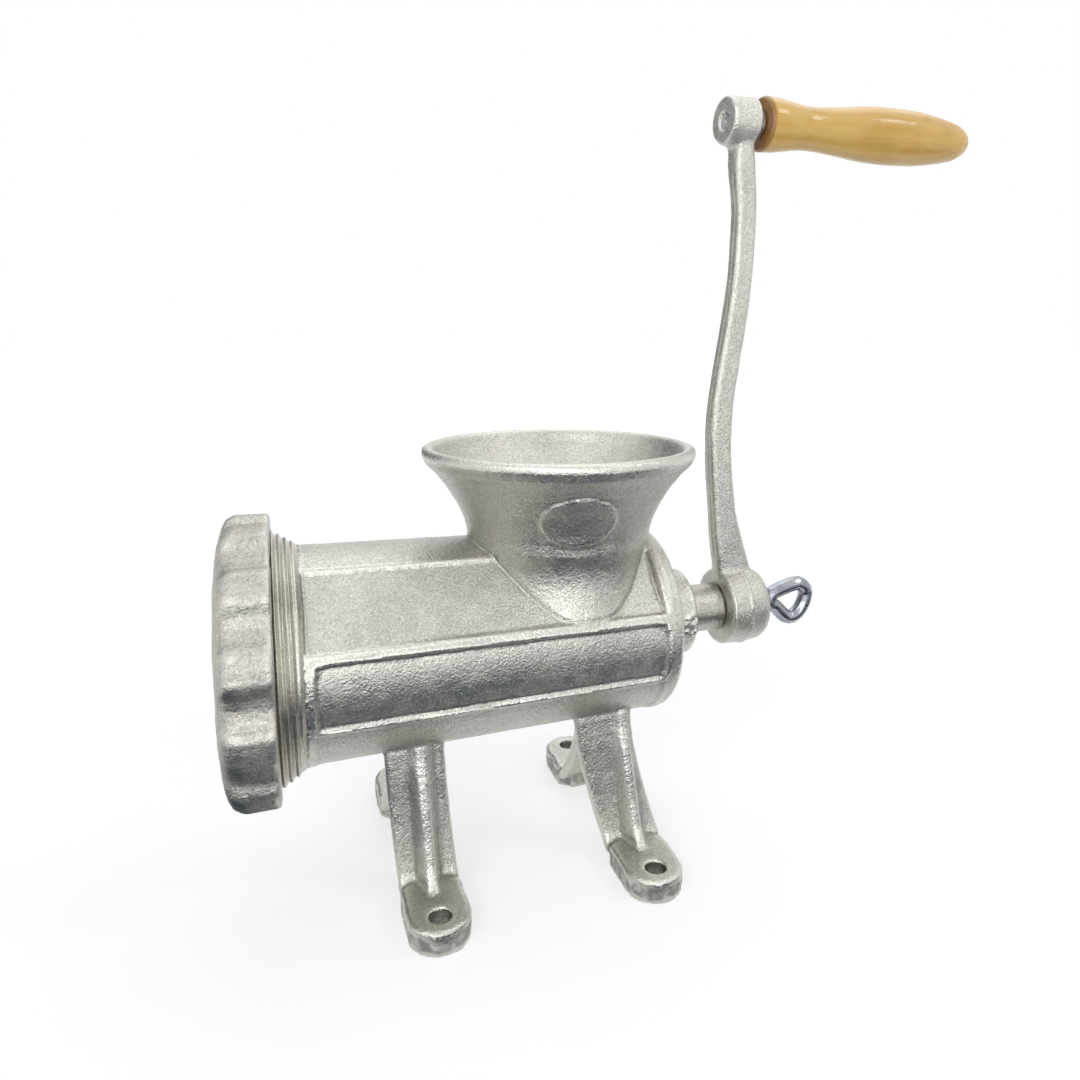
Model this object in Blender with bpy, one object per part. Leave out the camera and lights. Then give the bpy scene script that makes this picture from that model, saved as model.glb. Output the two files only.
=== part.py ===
"""A hand cranked meat grinder with a bolt-down casting, built from separate pieces.

X runs along the barrel towards the crank, Y crosses the machine and Z is up from
the table. The origin is under the middle of the machine, on the table. Sizes are
in metres and angles in degrees.
"""

import math

import bmesh
import bpy
from mathutils import Vector

# Fits and cuts
CLEARANCE = 0.0003
WORM_CLEARANCE = 0.0006
CUT_OVERRUN = 0.004
MERGE_DISTANCE = 0.000002
SHARP_ANGLE = 34

# Main lengths along X, from the ring nut's front face to the end of the grip
NUT_DEPTH = 0.0196
BARREL_LENGTH = 0.1569
COLLAR_LENGTH = 0.0161
SHAFT_REACH = 0.01835
HUB_WIDTH = 0.0208
BOSS_LEAD = 0.0036
BOSS_WIDTH = 0.0135
GRIP_WASHER_THICKNESS = 0.0032
GRIP_LENGTH = 0.11145

# Main heights
AXIS_HEIGHT = 0.0946
CRANK_RADIUS = 0.2129

# Barrel casting, with radii that taper towards the rear
BARREL_FRONT_RADIUS = 0.0425
BARREL_REAR_RADIUS = 0.0396
PANEL_STEP = 0.0017
BAR_SINK = 0.0006
BELLY_STEP = 0.0014
FLAT_PANEL_START = 0.0092
ROUND_PANEL_START = 0.0126
PANEL_REAR_BORDER = 0.0085
PANEL_RAMP = 0.0011
TOP_RIB_ANGLE = 26
FLAT_PANEL_ANGLE = 70.8
SIDE_RIB_ANGLE = 76
ROUND_PANEL_ANGLE = 112
BAR_ANGLE = 152
STEP_ANGLE = 1.5
RIM_FILLET = 0.0040
RIM_FILLET_SHARES = ((0.60, 0.08), (0.18, 0.40), (0.0, 1.0))
COLLAR_RADIUS = 0.0189
COLLAR_FILLET = 0.0026
COLLAR_FILLET_SHARES = ((0.0, 1.0), (0.35, 0.30), (1.0, 0.0))
COLLAR_CHAMFER = 0.0010

# Thread on the mouth of the barrel, which runs out to the barrel behind the nut
THREAD_RADIUS = 0.0490
THREAD_DEPTH = 0.0013
THREAD_PITCH = 0.0025
THREAD_RUNOUT = 0.0070
RUNOUT_SINK = 0.0042
SHOULDER_LENGTH = 0.0024
SHOULDER_SHARES = ((0.35, 0.36), (0.75, 0.80))

# Bore, knife chamber and rear wall
BORE_FRONT_RADIUS = 0.0340
BORE_REAR_RADIUS = 0.0325
CHAMBER_RADIUS = 0.0395
CHAMBER_CONE = 0.0022
REAR_WALL = 0.0089
BORE_SEGMENTS = 40

# Hopper, a funnel that stands on the barrel
HOPPER_SET_BACK = 0.0420
HOPPER_NECK_RADIUS = 0.0380
HOPPER_RIM_RADIUS = 0.0568
HOPPER_NECK_RISE = 0.0394
HOPPER_RISE = 0.0784
HOPPER_WALL = 0.0045
THROAT_RADIUS = 0.0310
THROAT_RISE = 0.0270
HOPPER_SEGMENTS = 40
HOPPER_ROOT_SHARES = (
    (0.0, 0.79),
    (0.23, 0.91),
    (0.34, 1.005),
    (0.46, 0.970),
    (0.60, 0.943),
    (0.76, 0.932),
    (0.89, 0.955),
)
HOPPER_FLARE_SHARES = (
    (0.0, 0.0),
    (0.123, 0.032),
    (0.246, 0.101),
    (0.415, 0.261),
    (0.613, 0.511),
    (0.641, 0.564),
    (0.744, 0.723),
    (0.821, 0.899),
    (0.913, 0.995),
    (0.969, 0.979),
    (0.992, 0.915),
    (1.0, 0.850),
)
HOPPER_BOWL_SHARES = (
    (0.0, 0.0),
    (0.246, 0.101),
    (0.415, 0.261),
    (0.613, 0.511),
    (0.744, 0.723),
    (0.872, 0.893),
    (0.962, 0.973),
    (1.0, 1.048),
)
CARTOUCHE_WIDTH = 0.030
CARTOUCHE_HEIGHT = 0.020
CARTOUCHE_PROUD = 0.0012
CARTOUCHE_RISE = 0.0540
CARTOUCHE_ANGLE = 262
CARTOUCHE_SEGMENTS = 16

# Legs and feet. A leg's stations go from its root in the barrel down to the foot:
# height share of the axis height, then the shares of the foot's reach at the
# flange's outer face and at the rib's crest, then the shares of the lean that are
# left on the near side (-Y) and on the far side.
FOOT_REACH = 0.0619
FOOT_WIDTH = 0.0236
FOOT_THICKNESS = 0.0095
FOOT_CHAMFER = 0.0012
FOOT_HEEL = 0.0277
FOOT_HEEL_CORNER = 0.0055
FOOT_HOLE_RADIUS = 0.0042
FOOT_HOLE_INSET = 0.0095
FOOT_END_SEGMENTS = 12
FOOT_HOLE_SEGMENTS = 20
LEG_THICKNESS = 0.0050
LEG_EDGE_CHAMFER = 0.0012
RIB_CREST = 0.0034
RIB_FOOT = 0.0100
LEG_STATION_SHARES = (
    (0.790, 0.370, 0.385, 1.0, 1.0),
    (0.600, 0.388, 0.428, 1.0, 1.0),
    (0.510, 0.400, 0.465, 0.92, 1.0),
    (0.400, 0.411, 0.504, 0.72, 1.0),
    (0.285, 0.433, 0.540, 0.48, 0.95),
    (0.180, 0.456, 0.585, 0.24, 0.55),
    (0.127, 0.472, 0.630, 0.10, 0.22),
    (0.100, 0.490, 0.670, 0.04, 0.05),
    (0.055, 0.530, 0.690, 0.0, 0.0),
)
FRONT_FOOT_OFFSET = 0.0523
FRONT_LEG_WIDTH = 0.0232
FRONT_NEAR_LEAN = 0.0033
FRONT_NEAR_RIB_SHIFT = 0.0019
FRONT_FAR_LEAN = -0.0030
FRONT_FAR_RIB_SHIFT = -0.0012
REAR_FOOT_SET_BACK = 0.0186
REAR_LEG_WIDTH = 0.0248
REAR_NEAR_LEAN = 0.0108
REAR_NEAR_RIB_SHIFT = 0.0075
REAR_FAR_LEAN = -0.0058
REAR_FAR_RIB_SHIFT = -0.0040

# Ring nut
NUT_LOBES = 12
NUT_CREST_RADIUS = 0.0556
NUT_VALLEY_DEPTH = 0.0048
NUT_OPENING_RADIUS = 0.0360
NUT_LIP = 0.0050
NUT_EDGE = 0.0009
NUT_VALLEY_ANGLE = 28
NUT_LOBE_SHARES = ((-0.5, 0.0), (-0.34, 0.04), (-0.26, 0.26), (-0.15, 0.80),
                   (0.0, 1.0), (0.15, 0.80), (0.26, 0.26), (0.34, 0.04))
NUT_FACE_WIDTH = 0.0030
NUT_NOSE = 0.0080
NUT_NOSE_SHARES = ((0.05, 0.0, 1.0), (0.30, 0.030, 1.0), (0.52, 0.095, 0.95), (0.71, 0.25, 0.80),
                   (0.86, 0.49, 0.50), (0.96, 0.78, 0.15), (1.0, 1.0, 0.0))

# Cutting plate and the key pin that stops it turning
PLATE_RADIUS = 0.0410
PLATE_THICKNESS = 0.0080
PLATE_PROUD = 0.0030
PLATE_SEGMENTS = 60
PLATE_HOLE_RADIUS = 0.0040
PLATE_HOLE_SEGMENTS = 10
PLATE_HOLE_RINGS = ((6, 0.0125), (12, 0.0222), (18, 0.0318))
KEY_RADIUS = 0.0020
KEY_SINK = 0.0058
KEY_SET_BACK = 0.0008
KEY_SEGMENTS = 16

# Knife
KNIFE_THICKNESS = 0.0100
KNIFE_RADIUS = 0.0378
KNIFE_HUB_RADIUS = 0.0125
KNIFE_ARM_WIDTH = 0.0105
KNIFE_ARMS = 4
KNIFE_SWEEP = 16
KNIFE_BEVEL_SHARE = 0.40

# Stud that carries the knife, and the pin that locks it in the auger
STUD_SQUARE = 0.0120
STUD_CORNER = 0.0012
STUD_JOURNAL_RADIUS = 0.0055
STUD_SHANK_RADIUS = 0.0060
STUD_SHANK_LENGTH = 0.0180
STUD_SET_BACK = 0.0010
LOCK_PIN_RADIUS = 0.0015
LOCK_PIN_INSET = 0.0080
STUD_SEGMENTS = 24
SQUARE_CORNER_STEPS = 2

# Auger
WORM_CORE_FRONT = 0.0135
WORM_CORE_REAR = 0.0165
WORM_PITCH_REAR = 0.0440
WORM_PITCH_FRONT = 0.0280
FLIGHT_TIP = 0.0042
FLIGHT_ROOT = 0.0100
WORM_STEPS_PER_TURN = 16
WORM_CORE_POINTS = 9
SHAFT_RADIUS = 0.0106
SHAFT_SQUARE = 0.0140
SHAFT_CORNER = 0.0016
SHAFT_SEGMENTS = 32
THRUST_WASHER_RADIUS = 0.0220
THRUST_WASHER_THICKNESS = 0.0020

# Crank arm with its hub and boss
HUB_RADIUS = 0.0174
HUB_PROFILE_SHARES = (
    (0.0, 0.915),
    (0.060, 0.985),
    (0.46, 1.0),
    (0.84, 0.945),
    (0.94, 0.880),
    (1.0, 0.785),
)
HUB_WALL = 0.0036
SOCKET_DEPTH = HUB_WIDTH - HUB_WALL
HUB_SEGMENTS = 32
BOSS_RADIUS = 0.0101
BOSS_CHAMFER = 0.0008
BOSS_SEGMENTS = 28
ARM_BOW = 0.01135
ARM_WIDTH = 0.0092
ARM_STEPS = 33
ARM_PATH_SHARES = (
    (0.060, 0.159),
    (0.081, 0.247),
    (0.130, 0.476),
    (0.207, 0.758),
    (0.330, 1.0),
    (0.440, 0.973),
    (0.570, 0.613),
    (0.692, 0.321),
    (0.825, 0.235),
    (0.900, 0.370),
    (0.949, 0.441),
    (0.985, 0.485),
)
ARM_SIZE_SHARES = (
    (0.060, 1.83, 1.10),
    (0.081, 1.81, 1.08),
    (0.100, 1.66, 1.04),
    (0.130, 1.51, 1.00),
    (0.156, 1.42, 0.97),
    (0.207, 1.20, 0.94),
    (0.330, 1.13, 0.92),
    (0.440, 1.11, 0.91),
    (0.570, 1.05, 0.90),
    (0.692, 1.01, 0.88),
    (0.825, 1.00, 0.88),
    (0.900, 1.06, 0.96),
    (0.949, 1.00, 1.12),
    (0.985, 0.98, 1.20),
)
ARM_SECTION_SHARES = (
    (0.50, 0.33), (0.44, 0.44), (0.32, 0.50),
    (-0.32, 0.50), (-0.44, 0.44), (-0.50, 0.33),
    (-0.50, -0.33), (-0.44, -0.44), (-0.32, -0.50),
    (0.32, -0.50), (0.44, -0.44), (0.50, -0.33),
)

# Thumb screw: a screw in the shaft's end with a bent rod eye welded on its head
SCREW_RADIUS = 0.0040
SCREW_ENGAGEMENT = 0.0162
SCREW_HOLE_SPARE = 0.0020
SCREW_HEAD_RADIUS = 0.0070
SCREW_HEAD_THICKNESS = 0.0024
SCREW_HEAD_CHAMFER = 0.0005
SCREW_WASHER_RADIUS = 0.0088
SCREW_WASHER_THICKNESS = 0.0014
SCREW_SEGMENTS = 24
EYE_ROD_RADIUS = 0.0035
EYE_LENGTH = 0.0199
EYE_HEIGHT = 0.0162
EYE_SEGMENTS = 10
EYE_STEPS = 28
EYE_PATH_SHARES = (
    (0.0, 0.0),
    (0.045, 0.155),
    (0.165, 0.235),
    (0.64, 0.400),
    (0.86, 0.355),
    (1.0, 0.140),
    (0.95, -0.200),
    (0.79, -0.490),
    (0.58, -0.600),
    (0.40, -0.500),
    (0.165, -0.215),
    (0.045, -0.140),
)

# Grip, its pin and its washer
GRIP_RADIUS = 0.01205
GRIP_SEGMENTS = 24
GRIP_PROFILE_SHARES = (
    (0.0, 0.880),
    (0.010, 0.945),
    (0.068, 0.913),
    (0.118, 0.846),
    (0.186, 0.755),
    (0.230, 0.748),
    (0.275, 0.768),
    (0.364, 0.848),
    (0.437, 0.925),
    (0.490, 0.972),
    (0.547, 1.0),
    (0.600, 1.008),
    (0.660, 1.0),
    (0.733, 0.972),
    (0.812, 0.885),
    (0.875, 0.790),
    (0.929, 0.680),
    (0.969, 0.500),
    (0.990, 0.320),
    (1.0, 0.160),
)
PIN_RADIUS = 0.0030
PIN_DEPTH = 0.0760
PIN_DIMPLE = 0.0008
GRIP_WASHER_RADIUS = 0.0065
PIN_SEGMENTS = 20

# Places along X
OVERALL_LENGTH = (NUT_DEPTH + BARREL_LENGTH + COLLAR_LENGTH + SHAFT_REACH - BOSS_LEAD
                  + BOSS_WIDTH + CLEARANCE + GRIP_WASHER_THICKNESS + CLEARANCE + GRIP_LENGTH)
NUT_FRONT_X = -OVERALL_LENGTH / 2
NUT_BACK_X = NUT_FRONT_X + NUT_DEPTH
LIP_X = NUT_FRONT_X + NUT_LIP
PLATE_FRONT_X = LIP_X + CLEARANCE
PLATE_BACK_X = PLATE_FRONT_X + PLATE_THICKNESS
MOUTH_X = PLATE_FRONT_X + PLATE_PROUD
RECESS_X = PLATE_BACK_X + CLEARANCE
KNIFE_FRONT_X = PLATE_BACK_X + CLEARANCE
KNIFE_BACK_X = KNIFE_FRONT_X + KNIFE_THICKNESS
WORM_FRONT_X = KNIFE_BACK_X + CLEARANCE
CHAMBER_X = KNIFE_BACK_X + CLEARANCE
BARREL_REAR_X = NUT_BACK_X + BARREL_LENGTH
COLLAR_X = BARREL_REAR_X + COLLAR_LENGTH
REAR_WALL_X = BARREL_REAR_X - REAR_WALL
WASHER_BACK_X = REAR_WALL_X - CLEARANCE
WASHER_FRONT_X = WASHER_BACK_X - THRUST_WASHER_THICKNESS
WORM_REAR_X = WASHER_FRONT_X - CLEARANCE
HUB_FRONT_X = COLLAR_X + SHAFT_REACH
HUB_BACK_X = HUB_FRONT_X + HUB_WIDTH
SQUARE_START_X = HUB_FRONT_X - CLEARANCE
SQUARE_END_X = HUB_FRONT_X + SOCKET_DEPTH - CLEARANCE
BOSS_FRONT_X = HUB_FRONT_X - BOSS_LEAD
BOSS_BACK_X = BOSS_FRONT_X + BOSS_WIDTH
GRIP_START_X = BOSS_BACK_X + CLEARANCE + GRIP_WASHER_THICKNESS + CLEARANCE
GRIP_END_X = GRIP_START_X + GRIP_LENGTH
SCREW_WASHER_X = HUB_BACK_X + CLEARANCE
SCREW_HEAD_X = SCREW_WASHER_X + SCREW_WASHER_THICKNESS + CLEARANCE
SCREW_HEAD_END_X = SCREW_HEAD_X + SCREW_HEAD_THICKNESS
EYE_X = SCREW_HEAD_END_X + CLEARANCE + EYE_ROD_RADIUS
HOPPER_X = BARREL_REAR_X - HOPPER_SET_BACK
FRONT_FOOT_X = NUT_BACK_X + FRONT_FOOT_OFFSET
REAR_FOOT_X = BARREL_REAR_X - REAR_FOOT_SET_BACK
HANDLE_HEIGHT = AXIS_HEIGHT + CRANK_RADIUS


def clear_scene():
    """Remove whatever objects the opened file holds."""
    for existing in list(bpy.data.objects):
        bpy.data.objects.remove(existing, do_unlink=True)


def principled(name, colour, roughness, metallic):
    """Return a plain Principled material."""
    material = bpy.data.materials.new(name)
    material.use_nodes = True
    shader = material.node_tree.nodes["Principled BSDF"]
    shader.inputs["Base Color"].default_value = (*colour, 1.0)
    shader.inputs["Roughness"].default_value = roughness
    shader.inputs["Metallic"].default_value = metallic
    return material


def new_object(name, points, faces, material=None):
    """Make a closed mesh object from points and faces, with its faces pointing out."""
    mesh = bpy.data.meshes.new(name)
    mesh.from_pydata([tuple(point) for point in points], [], faces)
    shape = bmesh.new()
    shape.from_mesh(mesh)
    bmesh.ops.recalc_face_normals(shape, faces=shape.faces)
    shape.to_mesh(mesh)
    shape.free()
    if material is not None:
        mesh.materials.append(material)
    made = bpy.data.objects.new(name, mesh)
    bpy.context.scene.collection.objects.link(made)
    return made


def loft(name, rings, material=None, closed=False):
    """Join rings of equally many points. A ring of one point closes an end to a tip."""
    points = []
    starts = []
    for ring in rings:
        starts.append(len(points))
        points.extend(ring)
    faces = []
    pairs = list(zip(range(len(rings) - 1), range(1, len(rings))))
    if closed:
        pairs.append((len(rings) - 1, 0))
    for first, second in pairs:
        faces.extend(band(starts[first], len(rings[first]), starts[second], len(rings[second])))
    if not closed:
        for index in (0, len(rings) - 1):
            if len(rings[index]) > 1:
                faces.append([starts[index] + step for step in range(len(rings[index]))])
    return new_object(name, points, faces, material)


def band(first, first_count, second, second_count):
    """Return the faces between two rings of points."""
    faces = []
    count = max(first_count, second_count)
    for step in range(count):
        after = (step + 1) % count
        if first_count == 1:
            faces.append([first, second + after, second + step])
        elif second_count == 1:
            faces.append([first + step, first + after, second])
        else:
            faces.append([first + step, first + after, second + after, second + step])
    return faces


def even_angles(count):
    """Return equally spaced angles in radians."""
    return [math.tau * step / count for step in range(count)]


def ring_about_x(x, radius, angles, height):
    """Return a ring round a line along X at a height, from +Y towards +Z."""
    if radius <= 0:
        return [Vector((x, 0, height))]
    return [Vector((x, radius * math.cos(a), height + radius * math.sin(a))) for a in angles]


def turned_about_x(name, profile, segments, height, material=None, closed=False):
    """Turn a profile of (x, radius) round a line along X at a height."""
    angles = even_angles(segments)
    rings = [ring_about_x(x, radius, angles, height) for x, radius in profile]
    return loft(name, rings, material, closed)


def turned_about_z(name, profile, segments, x, y, material=None):
    """Turn a profile of (z, radius) round an upright line."""
    rings = []
    for z, radius in profile:
        ring = [Vector((x + radius * math.cos(a), y + radius * math.sin(a), z))
                for a in even_angles(segments)]
        rings.append(ring)
    return loft(name, rings, material)


def combine(target, tool, operation):
    """Apply an exact Boolean to the target's mesh and remove the tool."""
    modifier = target.modifiers.new(operation.lower(), 'BOOLEAN')
    modifier.solver = 'EXACT'
    modifier.operation = operation
    modifier.object = tool
    bpy.context.view_layer.update()
    depsgraph = bpy.context.evaluated_depsgraph_get()
    result = bpy.data.meshes.new_from_object(target.evaluated_get(depsgraph))
    target.modifiers.clear()
    target.data = result
    bpy.data.objects.remove(tool, do_unlink=True)


def clean(target):
    """Merge points that a Boolean left on top of each other."""
    shape = bmesh.new()
    shape.from_mesh(target.data)
    bmesh.ops.remove_doubles(shape, verts=shape.verts, dist=MERGE_DISTANCE)
    bmesh.ops.dissolve_degenerate(shape, edges=shape.edges, dist=MERGE_DISTANCE)
    shape.to_mesh(target.data)
    shape.free()


def finish(target, pivot):
    """Put the object's origin on a pivot and shade it smooth between sharp edges."""
    offset = Vector(pivot)
    for vertex in target.data.vertices:
        vertex.co -= offset
    target.location = offset
    target.data.shade_smooth()
    target.data.set_sharp_from_angle(angle=math.radians(SHARP_ANGLE))
    return target


def smooth_path(points, steps, closed=False):
    """Return evenly stepped points on a Catmull-Rom curve through the given points."""
    count = len(points)
    spans = count if closed else count - 1
    path = []
    total = steps if closed else steps + 1
    for step in range(total):
        place = spans * step / steps
        span = min(int(place), spans - 1)
        blend = place - span
        corners = []
        for shift in (-1, 0, 1, 2):
            index = span + shift
            if closed:
                index %= count
            else:
                index = max(0, min(count - 1, index))
            corners.append(points[index])
        before, start, end, after = corners
        path.append(0.5 * ((2 * start) + (end - before) * blend
                           + (2 * before - 5 * start + 4 * end - after) * blend ** 2
                           + (3 * start - before - 3 * end + after) * blend ** 3))
    return path


def table_value(table, place, column):
    """Read a column of a table at a place between its rows."""
    for lower, upper in zip(table, table[1:]):
        if place <= upper[0]:
            share = (place - lower[0]) / (upper[0] - lower[0])
            share = max(0.0, share)
            return lower[column] + share * (upper[column] - lower[column])
    return table[-1][column]


# Barrel casting

def barrel_radius(x):
    """Return the barrel's outer radius, which tapers towards the rear."""
    share = (x - NUT_BACK_X) / BARREL_LENGTH
    return BARREL_FRONT_RADIUS + share * (BARREL_REAR_RADIUS - BARREL_FRONT_RADIUS)


def barrel_half_angles():
    """Return the angles from the top that the barrel's section is drawn with."""
    regions = (
        (0, TOP_RIB_ANGLE, 3),
        (TOP_RIB_ANGLE + STEP_ANGLE, FLAT_PANEL_ANGLE - STEP_ANGLE, 4),
        (FLAT_PANEL_ANGLE, SIDE_RIB_ANGLE, 1),
        (SIDE_RIB_ANGLE + STEP_ANGLE, ROUND_PANEL_ANGLE - STEP_ANGLE, 4),
        (ROUND_PANEL_ANGLE, BAR_ANGLE, 4),
        (BAR_ANGLE + STEP_ANGLE, 180, 3),
    )
    angles = []
    for start, end, steps in regions:
        angles.extend(start + (end - start) * step / steps for step in range(steps + 1))
    return angles


def panel_share(x, start):
    """Return how far a panel has sunk at x, from 0 at its border to 1 inside."""
    rear = BARREL_REAR_X - PANEL_REAR_BORDER
    share = min((x - start) / PANEL_RAMP, (rear - x) / PANEL_RAMP)
    return max(0.0, min(1.0, share))


def section_radius(x, angle):
    """Return the barrel's radius at x and at an angle from the top."""
    radius = barrel_radius(x)
    flat = panel_share(x, NUT_BACK_X + FLAT_PANEL_START)
    rounded = panel_share(x, NUT_BACK_X + ROUND_PANEL_START)
    first = TOP_RIB_ANGLE + STEP_ANGLE
    last = FLAT_PANEL_ANGLE - STEP_ANGLE
    if first <= angle <= last:
        middle = (first + last) / 2
        half = (last - first) / 2
        chord = math.cos(math.radians(half)) / math.cos(math.radians(angle - middle))
        return radius + flat * ((radius - PANEL_STEP) * chord - radius)
    if SIDE_RIB_ANGLE + STEP_ANGLE <= angle <= ROUND_PANEL_ANGLE - STEP_ANGLE:
        return radius - rounded * PANEL_STEP
    if ROUND_PANEL_ANGLE <= angle <= BAR_ANGLE:
        return radius - rounded * BAR_SINK
    if angle > BAR_ANGLE:
        return radius - rounded * BELLY_STEP
    return radius


def barrel_ring(x, angles, radius=None):
    """Return the barrel's section at x, or a round ring of a given radius."""
    ring = []
    for angle in angles:
        reach = section_radius(x, abs(angle)) if radius is None else radius
        turn = math.radians(90 + angle)
        ring.append(Vector((x, reach * math.cos(turn), AXIS_HEIGHT + reach * math.sin(turn))))
    return ring


def make_barrel_solid():
    """Make the barrel with its thread, panels, rear rim and collar, without the bore."""
    half = barrel_half_angles()
    angles = [-angle for angle in reversed(half[1:])] + half[:-1]
    rings = [barrel_ring(MOUTH_X, angles, THREAD_RADIUS - THREAD_DEPTH)]
    half_pitch = THREAD_PITCH / 2
    runout_x = NUT_BACK_X + THREAD_RUNOUT
    count = int((runout_x - MOUTH_X) / half_pitch)
    for step in range(1, count + 1):
        x = MOUTH_X + step * half_pitch
        sink = RUNOUT_SINK * max(0.0, (x - NUT_BACK_X) / THREAD_RUNOUT)
        depth = THREAD_DEPTH if step % 2 == 0 else 0
        rings.append(barrel_ring(x, angles, THREAD_RADIUS - sink - depth))
    top = THREAD_RADIUS - RUNOUT_SINK - THREAD_DEPTH
    foot = barrel_radius(runout_x + SHOULDER_LENGTH)
    for along, down in SHOULDER_SHARES:
        radius = top + down * (foot - top)
        rings.append(barrel_ring(runout_x + along * SHOULDER_LENGTH, angles, radius))
    flat_x = NUT_BACK_X + FLAT_PANEL_START
    round_x = NUT_BACK_X + ROUND_PANEL_START
    rear_x = BARREL_REAR_X - PANEL_REAR_BORDER
    places = sorted({runout_x + SHOULDER_LENGTH, flat_x + PANEL_RAMP, round_x,
                     round_x + PANEL_RAMP, rear_x - PANEL_RAMP, rear_x})
    for x in places:
        rings.append(barrel_ring(x, angles))
    for along, inward in RIM_FILLET_SHARES:
        radius = barrel_radius(BARREL_REAR_X) - inward * RIM_FILLET
        rings.append(barrel_ring(BARREL_REAR_X - along * RIM_FILLET, angles, radius))
    for along, outward in COLLAR_FILLET_SHARES:
        radius = COLLAR_RADIUS + outward * COLLAR_FILLET
        rings.append(barrel_ring(BARREL_REAR_X + along * COLLAR_FILLET, angles, radius))
    rings.append(barrel_ring(COLLAR_X - COLLAR_CHAMFER, angles, COLLAR_RADIUS))
    rings.append(barrel_ring(COLLAR_X, angles, COLLAR_RADIUS - COLLAR_CHAMFER))
    return loft("body_casting", rings)


def bore_radius(x):
    """Return the bore's radius, which narrows towards the rear."""
    share = (x - CHAMBER_X) / (REAR_WALL_X - CHAMBER_X)
    return BORE_FRONT_RADIUS + share * (BORE_REAR_RADIUS - BORE_FRONT_RADIUS)


def make_bore_tool():
    """Make the cutter for the plate recess, knife chamber, bore and shaft hole."""
    recess = PLATE_RADIUS + CLEARANCE
    shaft_hole = SHAFT_RADIUS + CLEARANCE
    cone_x = CHAMBER_X + CHAMBER_CONE
    profile = (
        (MOUTH_X - CUT_OVERRUN, recess),
        (RECESS_X, recess),
        (RECESS_X, CHAMBER_RADIUS),
        (CHAMBER_X, CHAMBER_RADIUS),
        (cone_x, bore_radius(cone_x)),
        (REAR_WALL_X, BORE_REAR_RADIUS),
        (REAR_WALL_X, shaft_hole),
        (COLLAR_X + CUT_OVERRUN, shaft_hole),
    )
    return turned_about_x("bore_tool", profile, BORE_SEGMENTS, AXIS_HEIGHT)


def hopper_height(share):
    """Return the height at a share of the flare, from the neck's top to the rim."""
    return AXIS_HEIGHT + HOPPER_NECK_RISE + share * (HOPPER_RISE - HOPPER_NECK_RISE)


def make_hopper_solid(proud=0):
    """Make the outside of the hopper, swollen by a small amount where asked."""
    profile = []
    for height, width in HOPPER_ROOT_SHARES:
        profile.append((AXIS_HEIGHT + height * HOPPER_NECK_RISE, width * HOPPER_NECK_RADIUS))
    for height, flare in HOPPER_FLARE_SHARES:
        radius = HOPPER_NECK_RADIUS + flare * (HOPPER_RIM_RADIUS - HOPPER_NECK_RADIUS)
        profile.append((hopper_height(height), radius + proud))
    return turned_about_z("hopper_solid", profile, HOPPER_SEGMENTS, HOPPER_X, 0)


def make_hopper_tool():
    """Make the cutter for the hopper's bowl and its throat down into the bore."""
    throat_z = AXIS_HEIGHT + THROAT_RISE
    profile = [(AXIS_HEIGHT, THROAT_RADIUS), (throat_z, THROAT_RADIUS)]
    neck = HOPPER_NECK_RADIUS - HOPPER_WALL
    for height, flare in HOPPER_BOWL_SHARES:
        radius = neck + flare * (HOPPER_RIM_RADIUS - HOPPER_NECK_RADIUS)
        profile.append((hopper_height(height), radius))
    mouth = profile[-1][1]
    profile.append((hopper_height(1) + CUT_OVERRUN, mouth))
    return turned_about_z("hopper_tool", profile, HOPPER_SEGMENTS, HOPPER_X, 0)


def make_cartouche():
    """Make the plain raised oval on the hopper's side."""
    angle = math.radians(CARTOUCHE_ANGLE)
    outward = Vector((math.cos(angle), math.sin(angle), 0))
    across = Vector((-math.sin(angle), math.cos(angle), 0))
    centre = Vector((HOPPER_X, 0, AXIS_HEIGHT + CARTOUCHE_RISE))
    rings = []
    for reach in (HOPPER_NECK_RADIUS, HOPPER_RIM_RADIUS):
        ring = []
        for turn in even_angles(CARTOUCHE_SEGMENTS):
            sideways = across * (math.cos(turn) * CARTOUCHE_WIDTH / 2)
            upward = Vector((0, 0, math.sin(turn) * CARTOUCHE_HEIGHT / 2))
            ring.append(centre + outward * reach + sideways + upward)
        rings.append(ring)
    pad = loft("cartouche", rings)
    combine(pad, make_hopper_solid(CARTOUCHE_PROUD), 'INTERSECT')
    return pad


def make_leg(side, foot_x, width, lean, rib_shift):
    """Make one leg, a flange with an outer rib that sweeps out into the foot."""
    rings = []
    half = width / 2
    chamfer = LEG_EDGE_CHAMFER
    for height, outer_reach, crest_reach, near_lean, far_lean in LEG_STATION_SHARES:
        leaning = near_lean if side < 0 else far_lean
        x = foot_x - lean * leaning
        outer = outer_reach * FOOT_REACH
        inner = outer - LEG_THICKNESS
        crest = crest_reach * FOOT_REACH
        rib_x = x + rib_shift * leaning
        rib_start = max(rib_x - RIB_FOOT / 2, x - half + 2 * chamfer)
        rib_end = min(rib_x + RIB_FOOT / 2, x + half - 2 * chamfer)
        outline = (
            (x - half, inner + chamfer),
            (x - half, outer - chamfer),
            (x - half + chamfer, outer),
            (rib_start, outer),
            (rib_x - RIB_CREST / 2, crest),
            (rib_x + RIB_CREST / 2, crest),
            (rib_end, outer),
            (x + half - chamfer, outer),
            (x + half, outer - chamfer),
            (x + half, inner + chamfer),
            (x + half - chamfer, inner),
            (x - half + chamfer, inner),
        )
        z = height * AXIS_HEIGHT
        rings.append([Vector((px, side * py, z)) for px, py in outline])
    return loft("leg", rings)


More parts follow.
